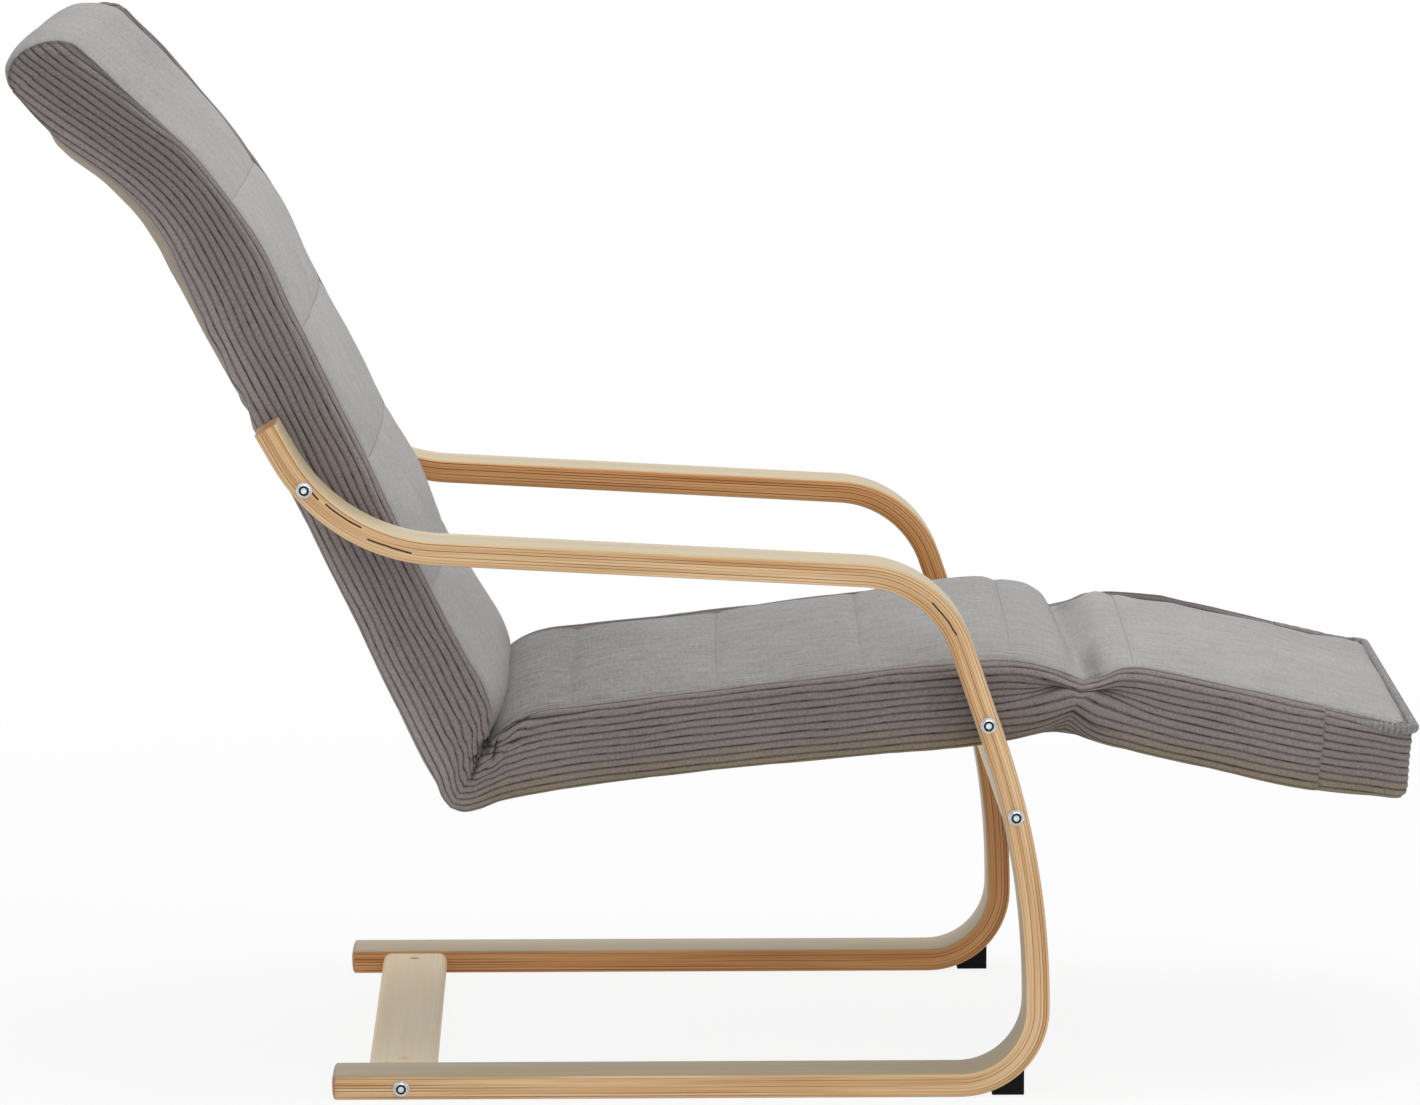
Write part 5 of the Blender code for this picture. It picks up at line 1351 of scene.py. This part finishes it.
def board_section():
    """A rounded rectangle as (across, through): each corner's centre plus a radius times (cos, sin)."""
    half_wide, half_thick, r = BOARD_WIDTH / 2, BOARD_THICKNESS / 2, BOARD_EDGE_ROUND
    angle = np.linspace(0, pi / 2, EDGE_POINTS)
    arc = r * np.stack([np.cos(angle), np.sin(angle)], -1)
    quarter = np.array([half_wide - r, half_thick - r]) + arc
    top = np.concatenate([quarter, quarter[::-1] * np.array([-1, 1])])
    ring = np.concatenate([top, -top])
    return np.concatenate([ring, ring[:1]])


def bent_board(name, side):
    """The section carried along the board's line: across goes along Y, through along the line's normal.
    At both ends rings shrink by cos and move out by the bulge times sin, which rounds the end off."""
    length = measured(board_line)[-1]
    run = np.linspace(0, length, int(length / BOARD_ROW))
    direction = unit(np.gradient(at_lengths(board_line, run), axis=0))
    turn = np.linspace(pi / 2, 0, CAP_RINGS + 1)[:-1]
    shrink = np.sin(pi / 2 - turn)
    scale = np.concatenate([shrink, np.ones(len(run)), shrink[::-1]])
    bulge = BOARD_END_BULGE * np.sin(turn)
    push = np.concatenate([-bulge / 2, np.zeros(len(run)), bulge[::-1]])
    every = np.concatenate([np.zeros(len(turn)), run, np.full(len(turn), length)])
    ahead = read_off(every, run, direction)
    middle = at_lengths(board_line, every) + ahead * push[:, None]
    section = board_section()
    across, through_board = section[:, 0] * scale[:, None], section[:, 1] * scale[:, None]
    flat = middle[:, None] + left_of(ahead)[:, None] * through_board[..., None]
    points = upright(flat, across + side * BOARD_MIDDLE)
    board = np.stack(np.broadcast_arrays((every + push)[:, None], across, through_board), -1)
    ends = np.broadcast_to(scale[:, None] < 1 - TINY, across.shape).astype(float)
    inner = (across * side < 0).astype(float)
    return surface(name, points, flip=True, board=board, end_grain=ends, inner=inner)


frame_right = bent_board("side_frame_right_wood", -1)
frame_left = bent_board("side_frame_left_wood", 1)

# %% [markdown]
# ## Finishes
# A material is a small network of nodes. Effects that several finishes share are node groups with named
# inputs: pile for the corduroy, layers and grain for the birch, speckle for paint and metal.

# %% Groups and finishes


def new_group(name, ins, outs):
    """An empty node group with the named sockets. Each entry of ins is (name, kind, default)."""
    tree = bpy.data.node_groups.new(name, "ShaderNodeTree")
    kinds = {"value": "NodeSocketFloat", "colour": "NodeSocketColor", "vector": "NodeSocketVector"}
    for label, kind, default in ins:
        socket = tree.interface.new_socket(name=label, in_out="INPUT", socket_type=kinds[kind])
        socket.default_value = default
    for label, kind in outs:
        tree.interface.new_socket(name=label, in_out="OUTPUT", socket_type=kinds[kind])
    net = Network(tree)
    return net, net.add("NodeGroupInput").outputs, net.add("NodeGroupOutput")


def placed(net, group_tree, **inputs):
    """A node group placed in a material with its own values."""
    return net.add("ShaderNodeGroup", {"node_tree": group_tree}, **inputs).outputs


def new_finish(name, **constants):
    """A material with one Principled shader; constants are set straight on its sockets."""
    material = bpy.data.materials.new(name)
    material.use_nodes = True
    net = Network(material.node_tree)
    shader = material.node_tree.nodes["Principled BSDF"]
    net.fill(shader, **constants)
    return material, net, shader


def finished(net, shader, colour, height, strength, depth):
    """Feeds the shader its colour, and a bump of the given strength and depth that follows a height."""
    bump = net.add("ShaderNodeBump", Strength=strength, Distance=depth, Height=height)
    net.fill(shader, Base_Color=colour, Normal=bump.outputs[0])


def dress(finish, *pieces):
    """Gives the pieces a finish in place of any that they had."""
    for piece in pieces:
        piece.data.materials.clear()
        piece.data.materials.append(finish)
    print(finish.name, "on", len(pieces), "pieces")


def hexa(text):
    """A colour as it looks on screen, as linear light: ((c + 0.055) / 1.055) ^ 2.4."""
    values = np.array([int(text[k:k + 2], 16) for k in (0, 2, 4)]) / 255
    return (*np.where(values <= 0.04045, values / 12.92, ((values + 0.055) / 1.055) ** 2.4), 1.0)

# %% [markdown]
# ## Corduroy
# The pile is painted lighter on top of a rib than in the valley: painted shade where light is caught between
# the fibres.
# Brushing leaves broad lighter and darker patches, and close up the fibres make a fine grain. The top
# panel also has fine streaks along its ribs, and is painted paler than the sides as painted light from
# above, though it is the same cloth.

# %% Corduroy finish
net, given, out = new_group(
    "corduroy_pile",
    [("Place", "vector", NOWHERE), ("Pile", "value", 1.0), ("Top", "colour", WHITE),
     ("Valley", "colour", BLACK), ("Valley Width", "value", 0.4), ("Brushed", "value", 0.1),
     ("Fibre", "value", 0.1), ("Fibre Scale", "value", 400.0)],
    [("Color", "colour"), ("Height", "value")])
depth = net.between(given["Pile"], 0.0, given["Valley Width"])
tone = net.mix(net.math("POWER", depth, 1.5), given["Valley"], given["Top"])
patches = net.between(net.noise(given["Place"], 9.0, 3.0), 0.3, 0.7, -1.0, 1.0)
fibres = net.between(net.noise(given["Place"], given["Fibre Scale"], 2.0, 0.7), 0.25, 0.75, -1.0, 1.0)
change = net.weighted((patches, given["Brushed"]), (fibres, given["Fibre"]))
net.fill(out, Color=net.lit(tone, change), Height=fibres)
corduroy_pile = net.tree


def corduroy(name, top, valley, valley_width, brushed, fibre):
    """Corduroy that reads its rib height from the mesh. Returns the finish with its network, its shader
    and the colour that the pile gives, so that a tint can still be laid over it."""
    material, net, shader = new_finish(name, Roughness=0.95, Sheen_Weight=0.2, Sheen_Roughness=0.45,
                                       Specular_IOR_Level=0.2)
    made = placed(net, corduroy_pile, Place=net.place(), Pile=net.attribute("pile"), Top=hexa(top),
                  Valley=hexa(valley), Valley_Width=valley_width, Brushed=brushed, Fibre=fibre)
    finished(net, shader, made["Color"], made["Height"], 0.25, 0.0006)
    return material, net, shader, made["Color"]


side_corduroy, net, shader, colour = corduroy("corduroy_side", "898181", "130e0d", 0.85, 0.06, 0.25)
net.fill(shader, Base_Color=net.times(colour, net.attribute("tint", "Color")))
dress(side_corduroy, cover_right, cover_left, cover_front)

# The top panel is the same corduroy as the sides, painted paler as painted light from above.
top_corduroy, net, shader, colour = corduroy("corduroy_top_painted_light", "a6a5a5", "8d8c8c", 0.5, 0.05, 0.10)
handled = net.attribute("handled")
# The share darkens the colour as painted shade and makes the streaks of crushed pile stronger.
colour = net.mix(handled, colour, net.times(colour, hexa("bdbbbb")))
cloth = net.attribute("cloth", "Vector")
lengthways = net.streaks(cloth, (30.0, 330.0, 1.0), 3.0, 0.65)
crossways = net.streaks(cloth, (330.0, 40.0, 1.0), 2.0, 0.6)
streaks = net.between(net.weighted((lengthways, 0.65), (crossways, 0.35)), 0.30, 0.70, -1.0, 1.0)
strength = net.between(handled, 0.2, 0.8, 0.20, 0.42)
net.fill(shader, Base_Color=net.lit(colour, net.math("MULTIPLY", streaks, strength)))
dress(top_corduroy, cover_top, cover_roll)

# %% [markdown]
# ## Lining cloth and thread
# The lining is a plain weave: threads over and under each other, about one to a millimetre. Two sine
# waves at right angles give the weave, and slow noise gives a few uneven threads. The sewing thread is
# twisted from plies, so its colour and its height change in slanting stripes along it.

# %% Lining and thread finishes
WEAVE_WAVES, TWIST_WAVES = 900, 1400
SHADOW_EDGE = (0.214, 0.231)

lining_cloth, net, shader = new_finish("lining_cloth", Roughness=0.9, Sheen_Weight=0.1,
                                       Specular_IOR_Level=0.2)
thread = net.attribute("thread", "Vector")
parts = net.split(thread)
warp, weft = (net.math("SINE", net.math("MULTIPLY", parts[k], 2 * pi * WEAVE_WAVES)) for k in (0, 1))
tone = net.weighted((net.streaks(thread, (40.0, 700.0, 1.0)), 0.5), (net.noise(thread, 6.0, 3.0), 0.5))
colour = net.mix(net.between(tone, 0.3, 0.7), hexa("a89c8c"), hexa("c0b4a4"))
at_seam = net.between(net.math("ABSOLUTE", parts[1]), *SHADOW_EDGE)
colour = net.mix(at_seam, net.times(colour, hexa("a7a29c")), colour)
finished(net, shader, colour, net.math("MULTIPLY", warp, weft), 0.3, 0.0004)
dress(lining_cloth, lining_back, lining_under)

sewing_thread, net, shader = new_finish("sewing_thread", Roughness=0.7, Sheen_Weight=0.1)
parts = net.split(net.place())
slant = net.math("ADD", parts[0], parts[1])
twist = net.math("SINE", net.math("MULTIPLY", slant, 2 * pi * TWIST_WAVES))
colour = net.mix(net.between(twist, -1, 1), hexa("8a8887"), hexa("9d9b9a"))
finished(net, shader, colour, twist, 0.4, 0.0002)
dress(sewing_thread, thread_chair, thread_foot)

# %% [markdown]
# ## Birch
# The broad faces are pale veneer with fine lines of grain along the board. The cut edges show layer on
# layer; on the inward side, which faces the cushion, they are painted more orange with darker lines as
# painted shade. Each layer has its own tone, with thin glue lines between, and here and there a dark slot
# where an inner veneer did not meet its neighbour. The cut ends show redder end grain.

# %% Birch grain and layers
LAYER = 0.0030
SLOTS = ((0.071, 0.087, 0.0042), (0.095, 0.139, 0.0055), (0.149, 0.195, -0.0016), (0.716, 0.757, 0.0))
SLOT_WIDTH = 0.0009
SLOT_WAVE = 0.0006
net, given, out = new_group(
    "birch_grain", [("Along", "vector", NOWHERE), ("Pale", "colour", WHITE), ("Dark", "colour", BLACK)],
    [("Color", "colour"), ("Height", "value")])
fine = net.streaks(given["Along"], (5.0, 420.0, 420.0), 3.0, 0.6)
broad = net.streaks(given["Along"], (1.6, 36.0, 36.0))
figure = net.between(net.weighted((fine, 0.55), (broad, 0.45)), 0.36, 0.64)
net.fill(out, Color=net.mix(figure, given["Dark"], given["Pale"]), Height=fine)
birch_grain = net.tree

net, given, out = new_group(
    "birch_layers", [("Along", "vector", NOWHERE), ("Pale", "colour", WHITE), ("Dark", "colour", BLACK),
                     ("Line", "colour", BLACK), ("Slot", "colour", BLACK), ("Slots", "value", 1.0)],
    [("Color", "colour"), ("Height", "value")])
parts = net.split(given["Along"])
layer = net.math("DIVIDE", parts[2], LAYER)


def layer_noise(number, stretch, apart):
    """Noise that changes slowly along the board and starts anew in each numbered layer."""
    along, through_board = net.math("MULTIPLY", parts[0], stretch), net.math("MULTIPLY", number, apart)
    spot = net.add("ShaderNodeCombineXYZ", X=along, Y=through_board, Z=parts[1])
    return net.noise(spot.outputs[0], 1.0, 1.0)


streak = net.streaks(given["Along"], (9.0, 60.0, 1400.0), 3.0, 0.6)
tone = net.weighted((layer_noise(net.math("FLOOR", layer), 3.0, 7.31), 0.5), (streak, 0.5))
wood = net.mix(net.between(tone, 0.38, 0.62), given["Dark"], given["Pale"])
off_middle = net.math("ABSOLUTE", net.math("SUBTRACT", net.math("FRACT", layer), 0.5))
glue = net.between(layer_noise(net.math("ROUND", layer), 2.0, 5.7), 0.42, 0.58, 0.05, 1.0)
glue = net.math("MULTIPLY", net.between(off_middle, 0.30, 0.46), glue)
wood = net.mix(glue, wood, given["Line"])
wavy = net.between(net.noise(given["Along"], 45.0, 1.0), 0.3, 0.7, -SLOT_WAVE, SLOT_WAVE)
slots = 0.0
for start, end, depth in SLOTS:
    reach = net.math("ABSOLUTE", net.math("SUBTRACT", parts[0], (start + end) / 2))
    off_line = net.math("ABSOLUTE", net.math("SUBTRACT", net.math("ADD", parts[2], wavy), depth))
    width = net.math("MULTIPLY", net.math("LESS_THAN", reach, (end - start) / 2), SLOT_WIDTH)
    slots = net.math("MAXIMUM", slots, net.math("LESS_THAN", off_line, width))
slots = net.math("MULTIPLY", slots, given["Slots"])
net.fill(out, Color=net.mix(slots, wood, given["Slot"]), Height=net.math("SUBTRACT", streak, slots))
birch_layers = net.tree
print("birch groups", birch_grain.name, birch_layers.name)

# %% [markdown]
# ## Laminated boards and cross boards
# A point of a bent board belongs to a cut edge if it is nearer to the board's side than to its face, so
# one material can show layers on the edges and veneer on the faces. The cross boards show veneer whose
# grain runs across the chair, painted much paler than the faces of the bent boards: painted light for
# these low boards under the cushion.

# %% Birch finishes
VARNISH = {"Roughness": 0.5, "Coat_Weight": 0.15, "Coat_Roughness": 0.35, "Specular_IOR_Level": 0.35}
WOOD_BUMP = (0.25, 0.0004)


def laminated(name):
    """Birch for the bent boards: layers on cut edges, grain on faces and a redder tone at cut ends."""
    material, net, shader = new_finish(name, **VARNISH)
    board = net.attribute("board", "Vector")
    parts = net.split(board)
    to_side = net.math("SUBTRACT", net.math("ABSOLUTE", parts[1]), BOARD_WIDTH / 2)
    to_face = net.math("SUBTRACT", net.math("ABSOLUTE", parts[2]), BOARD_THICKNESS / 2)
    cut = net.math("GREATER_THAN", to_side, to_face)
    face = placed(net, birch_grain, Along=board, Pale=hexa("c6b797"), Dark=hexa("b4a282"))
    edge = placed(net, birch_layers, Along=board, Pale=hexa("f3d3a6"), Dark=hexa("cc9c66"),
                  Line=hexa("8a5a30"), Slot=hexa("2b1509"))
    # Painted shade: the inward cut edges, which face the cushion, are more orange with darker lines.
    inner = placed(net, birch_layers, Along=board, Pale=hexa("f2b87c"), Dark=hexa("cc8848"),
                   Line=hexa("552a0e"), Slots=0.0)
    edges = net.mix(net.attribute("inner"), edge["Color"], inner["Color"])
    colour = net.mix(cut, face["Color"], edges)
    pores = net.between(net.streaks(board, (200.0, 500.0, 900.0)), 0.35, 0.65)
    red = net.math("MULTIPLY", net.math("GREATER_THAN", net.attribute("end_grain"), 0.5), 0.8)
    colour = net.mix(red, colour, net.mix(pores, hexa("6e3c1e"), hexa("c08450")))
    height = net.math("ADD", face["Height"], net.math("MULTIPLY", cut, edge["Height"]))
    finished(net, shader, colour, height, *WOOD_BUMP)
    return material


def veneered(name):
    """Birch veneer for the two cross boards, whose grain runs across the chair, painted paler than the bent
    boards' faces as painted light.
    """
    material, net, shader = new_finish(name, **VARNISH)
    turned = net.add("ShaderNodeMapping", Vector=net.place(), Rotation=(0, 0, pi / 2)).outputs[0]
    face = placed(net, birch_grain, Along=turned, Pale=hexa("fff1d2"), Dark=hexa("fae2b8"))
    finished(net, shader, face["Color"], face["Height"], *WOOD_BUMP)
    return material


dress(laminated("bent_birch"), frame_right, frame_left)
cross_birch_painted_light = veneered("cross_birch_painted_light")

# %% [markdown]
# ## Metal, paint, webbing and feet
# Zinc washers are slightly cloudy, and the bolts are greyer, with a dark ring painted round the socket in
# the head: a painted reflection of dark surroundings in the chamfer. The ends of the nuts are dull and
# pale. The tubes inside are painted black, the straps are woven, and the feet are black plastic with a
# fine grain.

# %% Hardware finishes
SPECKLE_DEPTH = 0.0003
net, given, out = new_group(
    "speckle", [("Place", "vector", NOWHERE), ("Scale", "value", 100.0), ("Light", "colour", WHITE),
                ("Dark", "colour", BLACK)], [("Color", "colour"), ("Value", "value")])
spots = net.noise(given["Place"], given["Scale"], 3.0)
net.fill(out, Color=net.mix(net.between(spots, 0.35, 0.65), given["Dark"], given["Light"]), Value=spots)
speckle = net.tree


def speckled(name, light, dark, scale, rough, bumpiness, **constants):
    """A finish whose colour, roughness and surface all follow the same fine speckle."""
    material, net, shader = new_finish(name, **constants)
    made = placed(net, speckle, Place=net.place(), Scale=scale, Light=hexa(light), Dark=hexa(dark))
    finished(net, shader, made["Color"], made["Value"], bumpiness, SPECKLE_DEPTH)
    net.fill(shader, Roughness=net.between(made["Value"], 0.3, 0.7, *rough))
    return material


zinc = speckled("zinc", "d5d7da", "b4b7bc", 260.0, (0.22, 0.4), 0.08, Metallic=1.0)
nut_end = speckled("nut_end", "ddd5c4", "cbc2b0", 260.0, (0.5, 0.65), 0.05, Metallic=0.2)
bolt_steel = speckled("bolt_steel", "e9edf0", "ccd2d6", 260.0, (0.25, 0.4), 0.08, Metallic=1.0)
black_paint = speckled("black_paint", "24252a", "17181b", 700.0, (0.4, 0.55), 0.15)
strap_weave = speckled("strap_weave", "3a3a3c", "262628", 900.0, (0.8, 0.95), 0.5)
foot_plastic = speckled("foot_plastic", "100f0f", "090909", 800.0, (0.5, 0.7), 0.3, Specular_IOR_Level=0.12)
print("hardware finishes share the group", speckle.name)

# %% Painted dark reflection rings in the bolt heads, and all hardware dressed
BOLTS = ((-0.41049, 0.61564), (0.26624, 0.378), (0.29428, 0.285), (-0.31912, 0.012))
SOCKET_RIM = (0.0029, 0.0052)
net, given, out = new_group(
    "bolt_painted_reflection", [("Place", "vector", NOWHERE), ("Inner", "value", 0.003), ("Outer", "value", 0.005)],
    [("Rim", "value")])
side_view = net.fed("ShaderNodeVectorMath", {"operation": "MULTIPLY"}, given["Place"], (1.0, 0.0, 1.0))
nearest = 1.0
for x, z in BOLTS:
    gap = net.add("ShaderNodeVectorMath", {"operation": "DISTANCE"})
    net.feed(gap, 0, side_view)
    net.feed(gap, 1, (x, 0.0, z))
    nearest = net.math("MINIMUM", nearest, gap.outputs["Value"])
outside = net.math("GREATER_THAN", nearest, given["Inner"])
net.fill(out, Rim=net.math("MULTIPLY", outside, net.math("LESS_THAN", nearest, given["Outer"])))
bolt_painted_reflection = net.tree

net = Network(bolt_steel.node_tree)
shader = bolt_steel.node_tree.nodes["Principled BSDF"]
made = placed(net, bolt_painted_reflection, Place=net.place(), Inner=SOCKET_RIM[0], Outer=SOCKET_RIM[1])
plain = shader.inputs["Base Color"].links[0].from_socket
# Painted reflection: a dark ring round each bolt's socket.
net.fill(shader, Base_Color=net.mix(made["Rim"], plain, hexa("2a3439")))

FINISHES = (("bolt", bolt_steel), ("washer", zinc), ("nut", nut_end), ("pin", zinc),
            ("sleeve", black_paint), ("tube", black_paint), ("rail", black_paint), ("plate", black_paint),
            ("strap", strap_weave), ("front_foot", foot_plastic), ("stretcher", cross_birch_painted_light),
            ("crossbar", cross_birch_painted_light))
dressed = set()
for word, finish in FINISHES:
    found = [label for label in nodes if word in label and label not in dressed]
    dress(finish, *(nodes[label] for label in found))
    dressed.update(found)

# %% [markdown]
# ## Putting it on the bodies
# The side frames stand still and ride with the frame, as do the lining behind the back and the chair's
# stitches. The front strip, its roll and the footrest's stitches ride with the footrest. The cover and the
# lower lining cross the hinge; they only have their placement baked into their meshes.

# %% Ride and bake
for piece in (cover_top, cover_right, cover_left, lining_under):
    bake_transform(piece)
for piece in (cover_front, cover_roll, thread_foot):
    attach(piece, "footrest")
for piece in (lining_back, thread_chair):
    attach(piece, "frame")
for piece, node in ((frame_right, "side_frame_right"), (frame_left, "side_frame_left")):
    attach(piece, "frame")
    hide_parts(node)
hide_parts("back_cushion", "seat_cushion", "footrest_cushion")
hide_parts("back_lining")
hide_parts("seat_lining", "footrest_lining")
